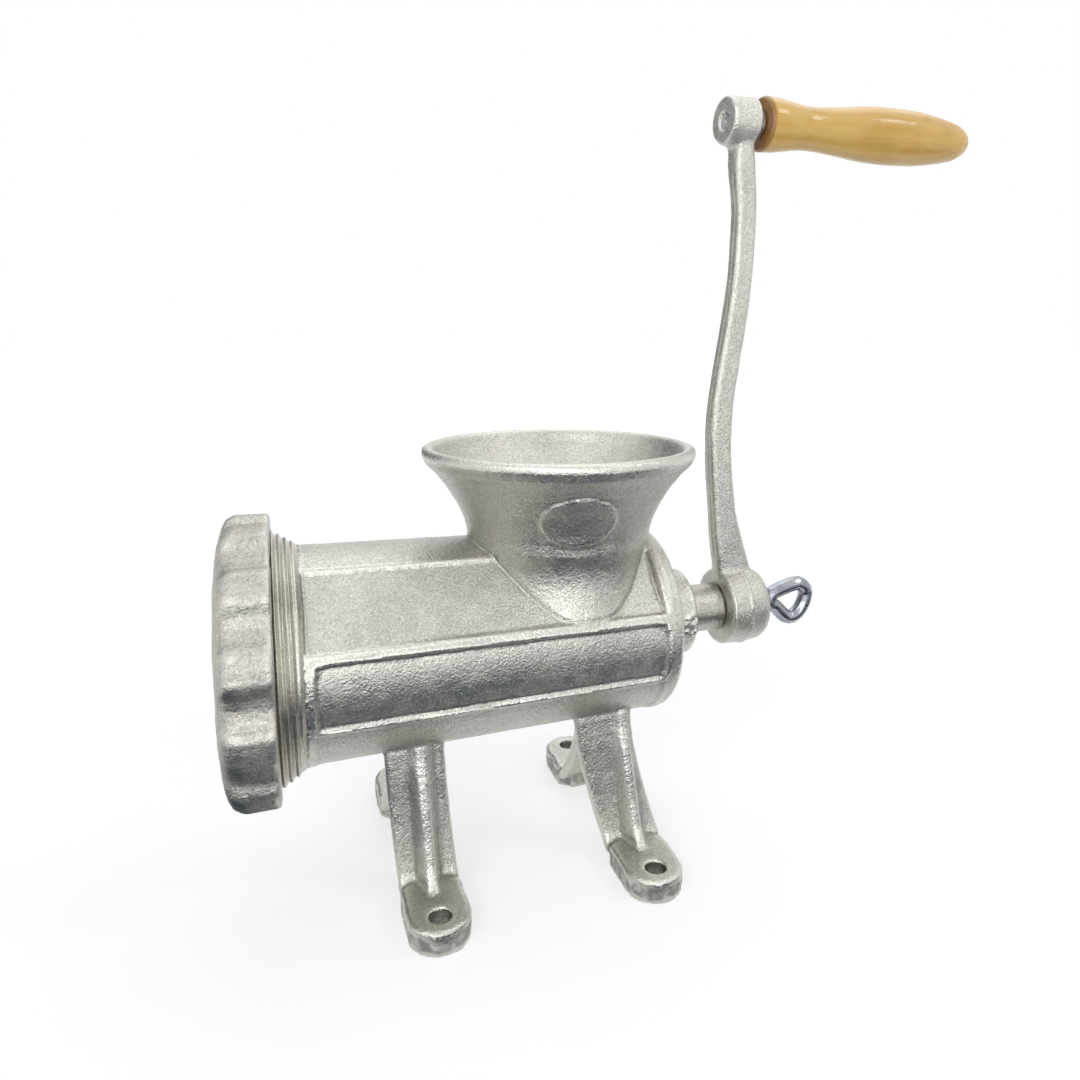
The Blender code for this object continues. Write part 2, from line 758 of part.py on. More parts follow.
def make_foot(side, x):
    """Make one foot, a flat lug with a round end and a heel with cut corners."""
    radius = FOOT_WIDTH / 2
    rings = []
    levels = ((0, 0), (FOOT_THICKNESS - FOOT_CHAMFER, 0), (FOOT_THICKNESS, FOOT_CHAMFER))
    for z, inset in levels:
        reach = radius - inset
        heel = FOOT_HEEL + inset
        ring = [Vector((x - reach + FOOT_HEEL_CORNER, side * heel, z)),
                Vector((x - reach, side * (heel + FOOT_HEEL_CORNER), z))]
        for step in range(FOOT_END_SEGMENTS + 1):
            turn = math.pi * step / FOOT_END_SEGMENTS
            out = FOOT_REACH - radius + reach * math.sin(turn)
            ring.append(Vector((x - reach * math.cos(turn), side * out, z)))
        ring.append(Vector((x + reach, side * (heel + FOOT_HEEL_CORNER), z)))
        ring.append(Vector((x + reach - FOOT_HEEL_CORNER, side * heel, z)))
        rings.append(ring)
    return loft("foot", rings)


def make_foot_hole(side, x):
    """Make the cutter for one bolt hole."""
    profile = ((-CUT_OVERRUN, FOOT_HOLE_RADIUS), (FOOT_THICKNESS + CUT_OVERRUN, FOOT_HOLE_RADIUS))
    y = side * (FOOT_REACH - FOOT_HOLE_INSET)
    return turned_about_z("foot_hole", profile, FOOT_HOLE_SEGMENTS, x, y)


def key_height():
    """Return the height of the key pin, on the wall of the plate's recess."""
    return AXIS_HEIGHT - PLATE_RADIUS - CLEARANCE


def make_body_casting():
    """Make the casting: barrel, collar, hopper and four legs, with every hole cut."""
    body = make_barrel_solid()
    combine(body, make_hopper_solid(), 'UNION')
    combine(body, make_cartouche(), 'UNION')
    legs = (
        (-1, FRONT_FOOT_X, FRONT_LEG_WIDTH, FRONT_NEAR_LEAN, FRONT_NEAR_RIB_SHIFT),
        (1, FRONT_FOOT_X, FRONT_LEG_WIDTH, FRONT_FAR_LEAN, FRONT_FAR_RIB_SHIFT),
        (-1, REAR_FOOT_X, REAR_LEG_WIDTH, REAR_NEAR_LEAN, REAR_NEAR_RIB_SHIFT),
        (1, REAR_FOOT_X, REAR_LEG_WIDTH, REAR_FAR_LEAN, REAR_FAR_RIB_SHIFT),
    )
    for side, foot_x, width, lean, shift in legs:
        combine(body, make_leg(side, foot_x, width, lean, shift), 'UNION')
        combine(body, make_foot(side, foot_x), 'UNION')
    combine(body, make_bore_tool(), 'DIFFERENCE')
    combine(body, make_hopper_tool(), 'DIFFERENCE')
    for side in (-1, 1):
        for foot_x in (FRONT_FOOT_X, REAR_FOOT_X):
            combine(body, make_foot_hole(side, foot_x), 'DIFFERENCE')
    pocket = ((MOUTH_X - CUT_OVERRUN, KEY_RADIUS + CLEARANCE),
              (RECESS_X + KEY_SINK + CLEARANCE, KEY_RADIUS + CLEARANCE))
    combine(body, turned_about_x("key_pocket", pocket, KEY_SEGMENTS, key_height()), 'DIFFERENCE')
    clean(body)
    body.data.materials.append(principled("tinned_iron", (0.66, 0.65, 0.61), 0.38, 0.85))
    return finish(body, (0, 0, 0))


def make_plate_key_pin():
    """Make the pin that stands in the mouth's wall and stops the plate turning."""
    profile = (
        (MOUTH_X + KEY_SET_BACK, 0),
        (MOUTH_X + KEY_SET_BACK, KEY_RADIUS),
        (RECESS_X + KEY_SINK, KEY_RADIUS),
        (RECESS_X + KEY_SINK, 0),
    )
    steel = principled("key_steel", (0.55, 0.55, 0.56), 0.35, 0.9)
    pin = turned_about_x("plate_key_pin", profile, KEY_SEGMENTS, key_height(), steel)
    return finish(pin, (0, 0, 0))


# Ring nut, plate and knife

def nut_ring(x, radius, valley):
    """Return the nut's lobed outline at x, with valleys of a given depth."""
    ring = []
    spacing = 360 / NUT_LOBES
    for lobe in range(NUT_LOBES):
        for place, sink in NUT_LOBE_SHARES:
            turn = math.radians(NUT_VALLEY_ANGLE + spacing * (lobe + place))
            reach = radius - valley * sink
            ring.append(Vector((x, reach * math.cos(turn), AXIS_HEIGHT + reach * math.sin(turn))))
    return ring


def make_ring_nut():
    """Make the lobed ring nut with its lip. Its bore clears the thread's crests."""
    bore = THREAD_RADIUS + CLEARANCE
    plate_seat = PLATE_RADIUS + 2 * CLEARANCE
    rings = [
        nut_ring(NUT_BACK_X, bore, 0),
        nut_ring(NUT_BACK_X, NUT_CREST_RADIUS - NUT_EDGE, NUT_VALLEY_DEPTH),
        nut_ring(NUT_BACK_X - NUT_EDGE, NUT_CREST_RADIUS, NUT_VALLEY_DEPTH),
    ]
    nose_drop = NUT_CREST_RADIUS - NUT_OPENING_RADIUS - NUT_FACE_WIDTH
    for along, inward, valley in NUT_NOSE_SHARES:
        x = NUT_FRONT_X + NUT_NOSE * (1 - along)
        rings.append(nut_ring(x, NUT_CREST_RADIUS - inward * nose_drop, NUT_VALLEY_DEPTH * valley))
    rings.append(nut_ring(NUT_FRONT_X, NUT_OPENING_RADIUS + NUT_EDGE, 0))
    rings.append(nut_ring(NUT_FRONT_X + NUT_EDGE, NUT_OPENING_RADIUS, 0))
    rings.append(nut_ring(LIP_X, NUT_OPENING_RADIUS, 0))
    rings.append(nut_ring(LIP_X, plate_seat, 0))
    rings.append(nut_ring(MOUTH_X - CLEARANCE, plate_seat, 0))
    rings.append(nut_ring(MOUTH_X - CLEARANCE, bore, 0))
    iron = principled("nut_iron", (0.66, 0.65, 0.62), 0.40, 0.85)
    nut = loft("ring_nut", rings, iron, closed=True)
    return finish(nut, (0, 0, AXIS_HEIGHT))


def flat_with_holes(name, outline, holes, back_x, front_x, material):
    """Make a flat piece from an outline of (y, z) points and loops of hole points."""
    shape = bmesh.new()
    edges = []
    for loop in [outline] + holes:
        corners = [shape.verts.new((back_x, y, z)) for y, z in loop]
        for start, end in zip(corners, corners[1:] + corners[:1]):
            edges.append(shape.edges.new((start, end)))
    filled = bmesh.ops.triangle_fill(shape, use_beauty=True, use_dissolve=False, edges=edges)
    faces = [item for item in filled["geom"] if isinstance(item, bmesh.types.BMFace)]
    pushed = bmesh.ops.extrude_face_region(shape, geom=faces, use_keep_orig=True)
    for item in pushed["geom"]:
        if isinstance(item, bmesh.types.BMVert):
            item.co.x = front_x
    bmesh.ops.recalc_face_normals(shape, faces=shape.faces)
    mesh = bpy.data.meshes.new(name)
    shape.to_mesh(mesh)
    shape.free()
    mesh.materials.append(material)
    made = bpy.data.objects.new(name, mesh)
    bpy.context.scene.collection.objects.link(made)
    return made


def circle_points(radius, segments, y=0, z=0, turn=0):
    """Return points round a circle in the YZ plane, relative to the axis."""
    return [(y + radius * math.cos(turn + a), z + AXIS_HEIGHT + radius * math.sin(turn + a))
            for a in even_angles(segments)]


def make_cutting_plate():
    """Make the round plate with its holes and the notch for the key pin."""
    notch = KEY_RADIUS + CLEARANCE
    pin_z = key_height() - AXIS_HEIGHT
    half_gap = 2 * math.asin(notch / (2 * PLATE_RADIUS))
    outline = []
    bottom = -math.pi / 2
    for step in range(PLATE_SEGMENTS + 1):
        turn = bottom + half_gap + (math.tau - 2 * half_gap) * step / PLATE_SEGMENTS
        outline.append((PLATE_RADIUS * math.cos(turn), AXIS_HEIGHT + PLATE_RADIUS * math.sin(turn)))
    steps = KEY_SEGMENTS // 2
    for step in range(1, steps):
        turn = math.pi - math.pi * step / steps
        outline.append((notch * math.cos(turn), AXIS_HEIGHT + pin_z + notch * math.sin(turn)))
    holes = [circle_points(STUD_JOURNAL_RADIUS + CLEARANCE, STUD_SEGMENTS)]
    for count, reach in PLATE_HOLE_RINGS:
        for place in even_angles(count):
            y = reach * math.cos(place)
            z = reach * math.sin(place)
            holes.append(circle_points(PLATE_HOLE_RADIUS, PLATE_HOLE_SEGMENTS, y, z, place))
    steel = principled("plate_steel", (0.60, 0.60, 0.61), 0.28, 0.95)
    plate = flat_with_holes("cutting_plate", outline, holes, PLATE_BACK_X, PLATE_FRONT_X, steel)
    return finish(plate, (0, 0, AXIS_HEIGHT))


def square_points(side, corner):
    """Return a square outline with rounded corners in the YZ plane."""
    points = []
    centre = side / 2 - corner
    for quarter in range(4):
        middle = math.pi / 4 + quarter * math.pi / 2
        y = centre * (1 if math.cos(middle) > 0 else -1)
        z = centre * (1 if math.sin(middle) > 0 else -1)
        for step in range(SQUARE_CORNER_STEPS + 1):
            turn = quarter * math.pi / 2 + (math.pi / 2) * step / SQUARE_CORNER_STEPS
            points.append((y + corner * math.cos(turn), z + AXIS_HEIGHT + corner * math.sin(turn)))
    return points


def knife_outline(reach_scale, width_scale):
    """Return the knife's outline, a hub with swept arms."""
    points = []
    half = width_scale * KNIFE_ARM_WIDTH / 2
    tip = reach_scale * KNIFE_RADIUS
    sweep = math.radians(KNIFE_SWEEP)
    root = math.asin(half / KNIFE_HUB_RADIUS)
    tip_half = math.asin(half / tip)
    for arm in range(KNIFE_ARMS):
        along = math.tau * arm / KNIFE_ARMS
        between = math.pi / KNIFE_ARMS
        marks = ((KNIFE_HUB_RADIUS, along - root), (tip, along + sweep / 2 - tip_half),
                 (tip, along + sweep / 2 + tip_half), (KNIFE_HUB_RADIUS, along + root),
                 (KNIFE_HUB_RADIUS, along + between))
        points.extend((reach * math.cos(a), AXIS_HEIGHT + reach * math.sin(a)) for reach, a in marks)
    return points


def make_knife():
    """Make the four armed knife: full width at the plate, narrower at its back."""
    front = knife_outline(1, 1)
    back = knife_outline(1, KNIFE_BEVEL_SHARE)
    middle_x = KNIFE_FRONT_X + KNIFE_THICKNESS * KNIFE_BEVEL_SHARE
    rings = [[Vector((x, y, z)) for y, z in outline]
             for x, outline in ((KNIFE_FRONT_X, front), (middle_x, front), (KNIFE_BACK_X, back))]
    steel = principled("knife_steel", (0.58, 0.58, 0.60), 0.30, 0.95)
    knife = loft("knife", rings)
    hole = square_points(STUD_SQUARE + 2 * CLEARANCE, STUD_CORNER)
    ends = (KNIFE_FRONT_X - CUT_OVERRUN, KNIFE_BACK_X + CUT_OVERRUN)
    tool = loft("knife_hole", [[Vector((x, y, z)) for y, z in hole] for x in ends])
    combine(knife, tool, 'DIFFERENCE')
    clean(knife)
    knife.data.materials.append(steel)
    return finish(knife, (0, 0, AXIS_HEIGHT))


# Auger, stud and thrust washer

def worm_turns(x):
    """Return the worm's turns at x, with a pitch that shortens towards the plate."""
    length = WORM_REAR_X - WORM_FRONT_X
    along = x - WORM_FRONT_X
    front_rate = 1 / WORM_PITCH_FRONT
    rear_rate = 1 / WORM_PITCH_REAR
    return along * front_rate + (rear_rate - front_rate) * along * along / (2 * length)


def worm_section(x):
    """Return the worm's section at x: a core with the flight standing on it."""
    share = (x - WORM_FRONT_X) / (WORM_REAR_X - WORM_FRONT_X)
    pitch = 1 / (1 / WORM_PITCH_FRONT + share * (1 / WORM_PITCH_REAR - 1 / WORM_PITCH_FRONT))
    core = WORM_CORE_FRONT + share * (WORM_CORE_REAR - WORM_CORE_FRONT)
    tip = bore_radius(x) - WORM_CLEARANCE
    root_turn = math.pi * FLIGHT_ROOT / pitch
    tip_turn = math.pi * FLIGHT_TIP / pitch
    marks = [(-root_turn, core), (-tip_turn, tip), (0, tip), (tip_turn, tip), (root_turn, core)]
    gap = (math.tau - 2 * root_turn) / (WORM_CORE_POINTS + 1)
    marks.extend((root_turn + gap * step, core) for step in range(1, WORM_CORE_POINTS + 1))
    phase = math.tau * worm_turns(x)
    return [Vector((x, radius * math.cos(phase + a), AXIS_HEIGHT + radius * math.sin(phase + a)))
            for a, radius in marks]


def stud_hole_end():
    """Return the x of the bottom of the hole that the stud screws into."""
    return WORM_FRONT_X + STUD_SHANK_LENGTH + CLEARANCE


def make_cross_pin_tool(radius, reach):
    """Make an upright cylinder across the stud at the lock pin's place."""
    x = WORM_FRONT_X + LOCK_PIN_INSET
    profile = ((AXIS_HEIGHT - reach, radius), (AXIS_HEIGHT + reach, radius))
    return turned_about_z("cross_pin", profile, KEY_SEGMENTS, x, 0)


def make_auger():
    """Make the feed screw with its shaft, square end and tapped hole."""
    steps = round(worm_turns(WORM_REAR_X) * WORM_STEPS_PER_TURN)
    length = WORM_REAR_X - WORM_FRONT_X
    sections = [worm_section(WORM_FRONT_X + length * step / steps) for step in range(steps + 1)]
    auger = loft("auger", sections)
    inside_x = WORM_REAR_X - CUT_OVERRUN
    shaft = turned_about_x("shaft", ((inside_x, SHAFT_RADIUS), (SQUARE_START_X, SHAFT_RADIUS)),
                           SHAFT_SEGMENTS, AXIS_HEIGHT)
    combine(auger, shaft, 'UNION')
    outline = square_points(SHAFT_SQUARE, SHAFT_CORNER)
    ends = (SQUARE_START_X - CUT_OVERRUN, SQUARE_END_X)
    combine(auger, loft("square", [[Vector((x, y, z)) for y, z in outline] for x in ends]), 'UNION')
    tapped = SCREW_RADIUS + CLEARANCE
    bottom = SQUARE_END_X - SCREW_ENGAGEMENT - SCREW_HOLE_SPARE
    hole = turned_about_x("tapped_hole", (
        (bottom, tapped),
        (SQUARE_END_X + CUT_OVERRUN, tapped),
    ), SCREW_SEGMENTS, AXIS_HEIGHT)
    combine(auger, hole, 'DIFFERENCE')
    stud_hole = STUD_SHANK_RADIUS + CLEARANCE
    socket = turned_about_x("stud_hole", (
        (WORM_FRONT_X - CUT_OVERRUN, stud_hole),
        (stud_hole_end(), stud_hole),
    ), STUD_SEGMENTS, AXIS_HEIGHT)
    combine(auger, socket, 'DIFFERENCE')
    reach = WORM_CORE_FRONT + CUT_OVERRUN
    combine(auger, make_cross_pin_tool(LOCK_PIN_RADIUS + CLEARANCE, reach), 'DIFFERENCE')
    clean(auger)
    auger.data.materials.append(principled("auger_iron", (0.62, 0.61, 0.58), 0.42, 0.85))
    return finish(auger, (0, 0, AXIS_HEIGHT))


def make_knife_stud():
    """Make the stud: a journal in the plate, a square in the knife and a shank in the auger."""
    journal = turned_about_x("knife_stud", (
        (PLATE_FRONT_X + STUD_SET_BACK, STUD_JOURNAL_RADIUS),
        (KNIFE_FRONT_X + CUT_OVERRUN, STUD_JOURNAL_RADIUS),
    ), STUD_SEGMENTS, AXIS_HEIGHT)
    outline = square_points(STUD_SQUARE, STUD_CORNER)
    block = loft("square", [[Vector((x, y, z)) for y, z in outline]
                            for x in (KNIFE_FRONT_X, KNIFE_BACK_X)])
    combine(journal, block, 'UNION')
    shank = turned_about_x("shank", ((KNIFE_BACK_X - CUT_OVERRUN, STUD_SHANK_RADIUS),
                                     (WORM_FRONT_X + STUD_SHANK_LENGTH, STUD_SHANK_RADIUS)),
                           STUD_SEGMENTS, AXIS_HEIGHT)
    combine(journal, shank, 'UNION')
    combine(journal, make_cross_pin_tool(LOCK_PIN_RADIUS + CLEARANCE, STUD_SQUARE), 'DIFFERENCE')
    clean(journal)
    journal.data.materials.append(principled("stud_steel", (0.56, 0.56, 0.57), 0.32, 0.95))
    return finish(journal, (0, 0, AXIS_HEIGHT))


def make_stud_lock_pin():
    """Make the pin driven across the auger's nose and the stud."""
    pin = make_cross_pin_tool(LOCK_PIN_RADIUS, WORM_CORE_FRONT - CLEARANCE)
    pin.name = "stud_lock_pin"
    pin.data.materials.append(principled("pin_steel", (0.50, 0.50, 0.52), 0.35, 0.9))
    return finish(pin, (0, 0, AXIS_HEIGHT))


def flat_washer(name, start_x, thickness, outer, inner, segments, height, material):
    """Make a flat washer round a line along X."""
    end_x = start_x + thickness
    profile = ((start_x, inner), (start_x, outer), (end_x, outer), (end_x, inner))
    return turned_about_x(name, profile, segments, height, material, closed=True)


def make_thrust_washer():
    """Make the fibre washer between the auger and the barrel's rear wall."""
    fibre = principled("fibre", (0.30, 0.10, 0.06), 0.6, 0.0)
    washer = flat_washer("thrust_washer", WASHER_FRONT_X, THRUST_WASHER_THICKNESS,
                         THRUST_WASHER_RADIUS, SHAFT_RADIUS + CLEARANCE, SHAFT_SEGMENTS,
                         AXIS_HEIGHT, fibre)
    return finish(washer, (0, 0, AXIS_HEIGHT))


# Crank, thumb screw and grip

def make_crank_arm():
    """Make the crank: hub with a square socket, bowed arm and boss for the grip's pin."""
    hub_middle = (HUB_FRONT_X + HUB_BACK_X) / 2
    profile = [(HUB_FRONT_X + along * HUB_WIDTH, radius * HUB_RADIUS)
               for along, radius in HUB_PROFILE_SHARES]
    crank = turned_about_x("crank_arm", profile, HUB_SEGMENTS, AXIS_HEIGHT)
    marks = [Vector((hub_middle - bow * ARM_BOW, 0, AXIS_HEIGHT + rise * CRANK_RADIUS))
             for rise, bow in ARM_PATH_SHARES]
    path = smooth_path(marks, ARM_STEPS)
    rings = []
    for index, point in enumerate(path):
        before = path[max(0, index - 1)]
        after = path[min(len(path) - 1, index + 1)]
        along = (after - before).normalized()
        across = Vector((along.z, 0, -along.x))
        rise = (point.z - AXIS_HEIGHT) / CRANK_RADIUS
        wide = ARM_WIDTH * table_value(ARM_SIZE_SHARES, rise, 1)
        deep = ARM_WIDTH * table_value(ARM_SIZE_SHARES, rise, 2)
        ring = [point + across * (u * wide) + Vector((0, v * deep, 0))
                for u, v in ARM_SECTION_SHARES]
        rings.append(ring)
    combine(crank, loft("arm", rings), 'UNION')
    boss = turned_about_x("boss", (
        (BOSS_FRONT_X, BOSS_RADIUS - BOSS_CHAMFER),
        (BOSS_FRONT_X + BOSS_CHAMFER, BOSS_RADIUS),
        (BOSS_BACK_X - BOSS_CHAMFER, BOSS_RADIUS),
        (BOSS_BACK_X, BOSS_RADIUS - BOSS_CHAMFER),
    ), BOSS_SEGMENTS, HANDLE_HEIGHT)
    combine(crank, boss, 'UNION')
    socket = square_points(SHAFT_SQUARE + 2 * CLEARANCE, SHAFT_CORNER)
    ends = (HUB_FRONT_X - CUT_OVERRUN, HUB_FRONT_X + SOCKET_DEPTH)
    combine(crank, loft("socket", [[Vector((x, y, z)) for y, z in socket] for x in ends]), 'DIFFERENCE')
    screw_hole = SCREW_RADIUS + CLEARANCE
    hole = turned_about_x("screw_hole", (
        (HUB_FRONT_X, screw_hole),
        (HUB_BACK_X + CUT_OVERRUN, screw_hole),
    ), SCREW_SEGMENTS, AXIS_HEIGHT)
    combine(crank, hole, 'DIFFERENCE')
    pin_hole = PIN_RADIUS + CLEARANCE
    bore = turned_about_x("pin_hole", (
        (BOSS_FRONT_X - CUT_OVERRUN, pin_hole),
        (BOSS_BACK_X + CUT_OVERRUN, pin_hole),
    ), PIN_SEGMENTS, HANDLE_HEIGHT)
    combine(crank, bore, 'DIFFERENCE')
    clean(crank)
    crank.data.materials.append(principled("crank_iron", (0.66, 0.65, 0.61), 0.38, 0.85))
    return finish(crank, (0, 0, AXIS_HEIGHT))


def make_thumb_screw():
    """Make the screw that holds the crank on the shaft."""
    start = SQUARE_END_X - SCREW_ENGAGEMENT
    profile = (
        (start, 0),
        (start, SCREW_RADIUS - SCREW_HEAD_CHAMFER),
        (start + SCREW_HEAD_CHAMFER, SCREW_RADIUS),
        (SCREW_HEAD_X, SCREW_RADIUS),
        (SCREW_HEAD_X, SCREW_HEAD_RADIUS),
        (SCREW_HEAD_END_X - SCREW_HEAD_CHAMFER, SCREW_HEAD_RADIUS),
        (SCREW_HEAD_END_X, SCREW_HEAD_RADIUS - SCREW_HEAD_CHAMFER),
        (SCREW_HEAD_END_X, 0),
    )
    zinc = principled("screw_zinc", (0.62, 0.63, 0.65), 0.25, 0.95)
    screw = turned_about_x("thumb_screw", profile, SCREW_SEGMENTS, AXIS_HEIGHT, zinc)
    return finish(screw, (0, 0, AXIS_HEIGHT))


def make_thumb_screw_washer():
    """Make the washer between the hub and the screw's head."""
    zinc = principled("washer_zinc", (0.60, 0.61, 0.62), 0.3, 0.95)
    washer = flat_washer("thumb_screw_washer", SCREW_WASHER_X, SCREW_WASHER_THICKNESS,
                         SCREW_WASHER_RADIUS, SCREW_RADIUS + CLEARANCE, SCREW_SEGMENTS,
                         AXIS_HEIGHT, zinc)
    return finish(washer, (0, 0, AXIS_HEIGHT))


def make_thumb_screw_eye():
    """Make the bent rod eye that turns the screw."""
    marks = [Vector((EYE_X + along * EYE_LENGTH, 0, AXIS_HEIGHT + up * EYE_HEIGHT))
             for along, up in EYE_PATH_SHARES]
    path = smooth_path(marks, EYE_STEPS, closed=True)
    rings = []
    for index, point in enumerate(path):
        along = (path[(index + 1) % len(path)] - path[index - 1]).normalized()
        across = Vector((along.z, 0, -along.x))
        side = Vector((0, 1, 0))
        rings.append([point + (across * math.cos(a) + side * math.sin(a)) * EYE_ROD_RADIUS
                      for a in even_angles(EYE_SEGMENTS)])
    zinc = principled("eye_zinc", (0.62, 0.63, 0.65), 0.22, 0.95)
    eye = loft("thumb_screw_eye", rings, zinc, closed=True)
    return finish(eye, (0, 0, AXIS_HEIGHT))


def make_grip():
    """Make the turned wooden grip with the blind bore for its pin."""
    bore = PIN_RADIUS + CLEARANCE
    profile = [(GRIP_START_X + along * GRIP_LENGTH, radius * GRIP_RADIUS)
               for along, radius in GRIP_PROFILE_SHARES]
    bottom = GRIP_START_X + PIN_DEPTH + CLEARANCE
    profile = [(bottom, 0), (bottom, bore), (GRIP_START_X, bore)] + profile + [(GRIP_END_X, 0)]
    wood = principled("varnished_wood", (0.83, 0.60, 0.27), 0.3, 0.0)
    grip = turned_about_x("grip", profile, GRIP_SEGMENTS, HANDLE_HEIGHT, wood)
    return finish(grip, (0, 0, HANDLE_HEIGHT))


def make_handle_pin():
    """Make the pin riveted in the boss, on which the grip turns."""
    profile = (
        (BOSS_FRONT_X + PIN_DIMPLE, 0),
        (BOSS_FRONT_X, PIN_RADIUS / 2),
        (BOSS_FRONT_X, PIN_RADIUS),
        (GRIP_START_X + PIN_DEPTH, PIN_RADIUS),
        (GRIP_START_X + PIN_DEPTH, 0),
    )
    steel = principled("handle_pin_steel", (0.55, 0.55, 0.55), 0.35, 0.9)
    pin = turned_about_x("handle_pin", profile, PIN_SEGMENTS, HANDLE_HEIGHT, steel)
    return finish(pin, (0, 0, HANDLE_HEIGHT))


def make_grip_washer():
    """Make the small washer between the boss and the grip."""
    steel = principled("grip_washer_steel", (0.45, 0.45, 0.45), 0.4, 0.9)
    washer = flat_washer("grip_washer", BOSS_BACK_X + CLEARANCE, GRIP_WASHER_THICKNESS,
                         GRIP_WASHER_RADIUS, PIN_RADIUS + CLEARANCE, PIN_SEGMENTS,
                         HANDLE_HEIGHT, steel)
    return finish(washer, (0, 0, HANDLE_HEIGHT))


def make_grinder():
    """Make every piece of the grinder."""
    clear_scene()
    make_body_casting()
    make_plate_key_pin()
    make_ring_nut()
    make_cutting_plate()
    make_knife()
    make_auger()
    make_knife_stud()
    make_stud_lock_pin()
    make_thrust_washer()
    make_crank_arm()
    make_thumb_screw()
    make_thumb_screw_washer()
    make_thumb_screw_eye()
    make_handle_pin()
    make_grip_washer()
    make_grip()


make_grinder()
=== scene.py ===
"""The looks of a hand cranked meat grinder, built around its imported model.

Every length is in metres, in the model's own frame: X runs along the barrel towards
the crank, Y crosses the machine and Z is up from the table. Angles are in degrees.
"""

import math

import bmesh
import bpy
import numpy as np
from mathutils import Matrix, Vector


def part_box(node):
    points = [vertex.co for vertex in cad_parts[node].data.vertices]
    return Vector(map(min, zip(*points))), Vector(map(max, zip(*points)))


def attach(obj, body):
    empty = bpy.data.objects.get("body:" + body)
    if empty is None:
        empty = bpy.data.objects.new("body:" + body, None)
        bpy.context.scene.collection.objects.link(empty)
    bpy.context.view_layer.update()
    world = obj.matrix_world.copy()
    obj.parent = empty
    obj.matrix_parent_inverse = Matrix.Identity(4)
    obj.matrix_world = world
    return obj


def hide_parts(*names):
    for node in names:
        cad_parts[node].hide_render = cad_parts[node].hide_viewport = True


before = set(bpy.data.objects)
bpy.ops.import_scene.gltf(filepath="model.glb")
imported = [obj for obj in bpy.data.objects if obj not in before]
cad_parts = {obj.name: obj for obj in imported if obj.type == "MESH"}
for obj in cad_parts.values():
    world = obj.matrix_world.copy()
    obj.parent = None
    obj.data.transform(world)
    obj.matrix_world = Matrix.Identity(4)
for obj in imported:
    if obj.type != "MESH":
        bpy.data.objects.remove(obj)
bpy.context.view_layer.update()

MM = 0.001

# Camera, fitted to the photograph's 1080 pixel frame
PHOTO_SIZE = 1080
CAMERA_PLACE = (-0.14335, -0.32344, 0.21814)
CAMERA_YAW = 19.27
CAMERA_PITCH = -8.66
CAMERA_ROLL = 0.28
FOCAL_PIXELS = 825.7
OPTICAL_CENTRE = (566, 460)
SENSOR_WIDTH = 36
CLIP_START = 0.01
CLIP_END = 50

# Places read from the frame
NUT_LOW, NUT_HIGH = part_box("ring_nut")
GRIP_LOW, GRIP_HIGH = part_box("grip")
NUT_BACK_X = NUT_HIGH.x
COLLAR_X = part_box("body_casting")[1].x
PLATE_FACE_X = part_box("cutting_plate")[0].x
BOSS_FACE_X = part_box("handle_pin")[0].x
AXIS_Z = (NUT_LOW.z + NUT_HIGH.z) / 2
HANDLE_Z = (GRIP_LOW.z + GRIP_HIGH.z) / 2


# Meshes as arrays. A layer of lumps is its size, its height and its seed.

WELD_DISTANCE = 0.001 * MM
SOFTEN_PULL = 0.50
SOFTEN_PUSH = 0.52
WEAR_PULL = 0.6
WEAR_REACH = 6
WEAR_DEPTH = 0.10 * MM
WEAR_BLUR = 2
CORNERS_OF_A_CELL = 8


def full_or_quick(full):
    """Return the full value."""
    return full


def new_object(name, data):
    """Return a new object in the scene, with its data."""
    made = bpy.data.objects.new(name, data)
    bpy.context.scene.collection.objects.link(made)
    return made


def copy_of(node, name):
    """Return a new object with a merged copy of a node's mesh."""
    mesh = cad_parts[node].data.copy()
    mesh.name = name
    shape = bmesh.new()
    shape.from_mesh(mesh)
    bmesh.ops.remove_doubles(shape, verts=shape.verts, dist=WELD_DISTANCE)
    shape.to_mesh(mesh)
    shape.free()
    mesh.materials.clear()
    return new_object(name, mesh)


def new_piece(name, points, faces):
    """Return a new object from points and faces, with its faces pointing out."""
    mesh = bpy.data.meshes.new(name)
    mesh.from_pydata([tuple(point) for point in points], [], faces)
    shape = bmesh.new()
    shape.from_mesh(mesh)
    bmesh.ops.recalc_face_normals(shape, faces=shape.faces)
    shape.to_mesh(mesh)
    shape.free()
    return new_object(name, mesh)


def remesh(target, voxel):
    """Give the object an even skin of small quads."""
    modifier = target.modifiers.new("skin", 'REMESH')
    modifier.mode = 'VOXEL'
    modifier.voxel_size = voxel
    bpy.context.view_layer.update()
    depsgraph = bpy.context.evaluated_depsgraph_get()
    mesh = bpy.data.meshes.new_from_object(target.evaluated_get(depsgraph))
    target.modifiers.clear()
    target.data = mesh


def read_points(target):
    """Return the object's points as an array."""
    points = np.empty(len(target.data.vertices) * 3)
    target.data.vertices.foreach_get("co", points)
    return points.reshape(-1, 3)


def write_points(target, points):
    """Put an array of points back in the object's mesh."""
    target.data.vertices.foreach_set("co", points.ravel())
    target.data.update()


def read_normals(target):
    """Return the object's point normals as an array."""
    normals = np.empty(len(target.data.vertices) * 3)
    target.data.vertices.foreach_get("normal", normals)
    return normals.reshape(-1, 3)


def read_edges(target):
    """Return the object's edges as pairs of point numbers."""
    edges = np.empty(len(target.data.edges) * 2, dtype=np.int64)
    target.data.edges.foreach_get("vertices", edges)
    return edges.reshape(-1, 2)


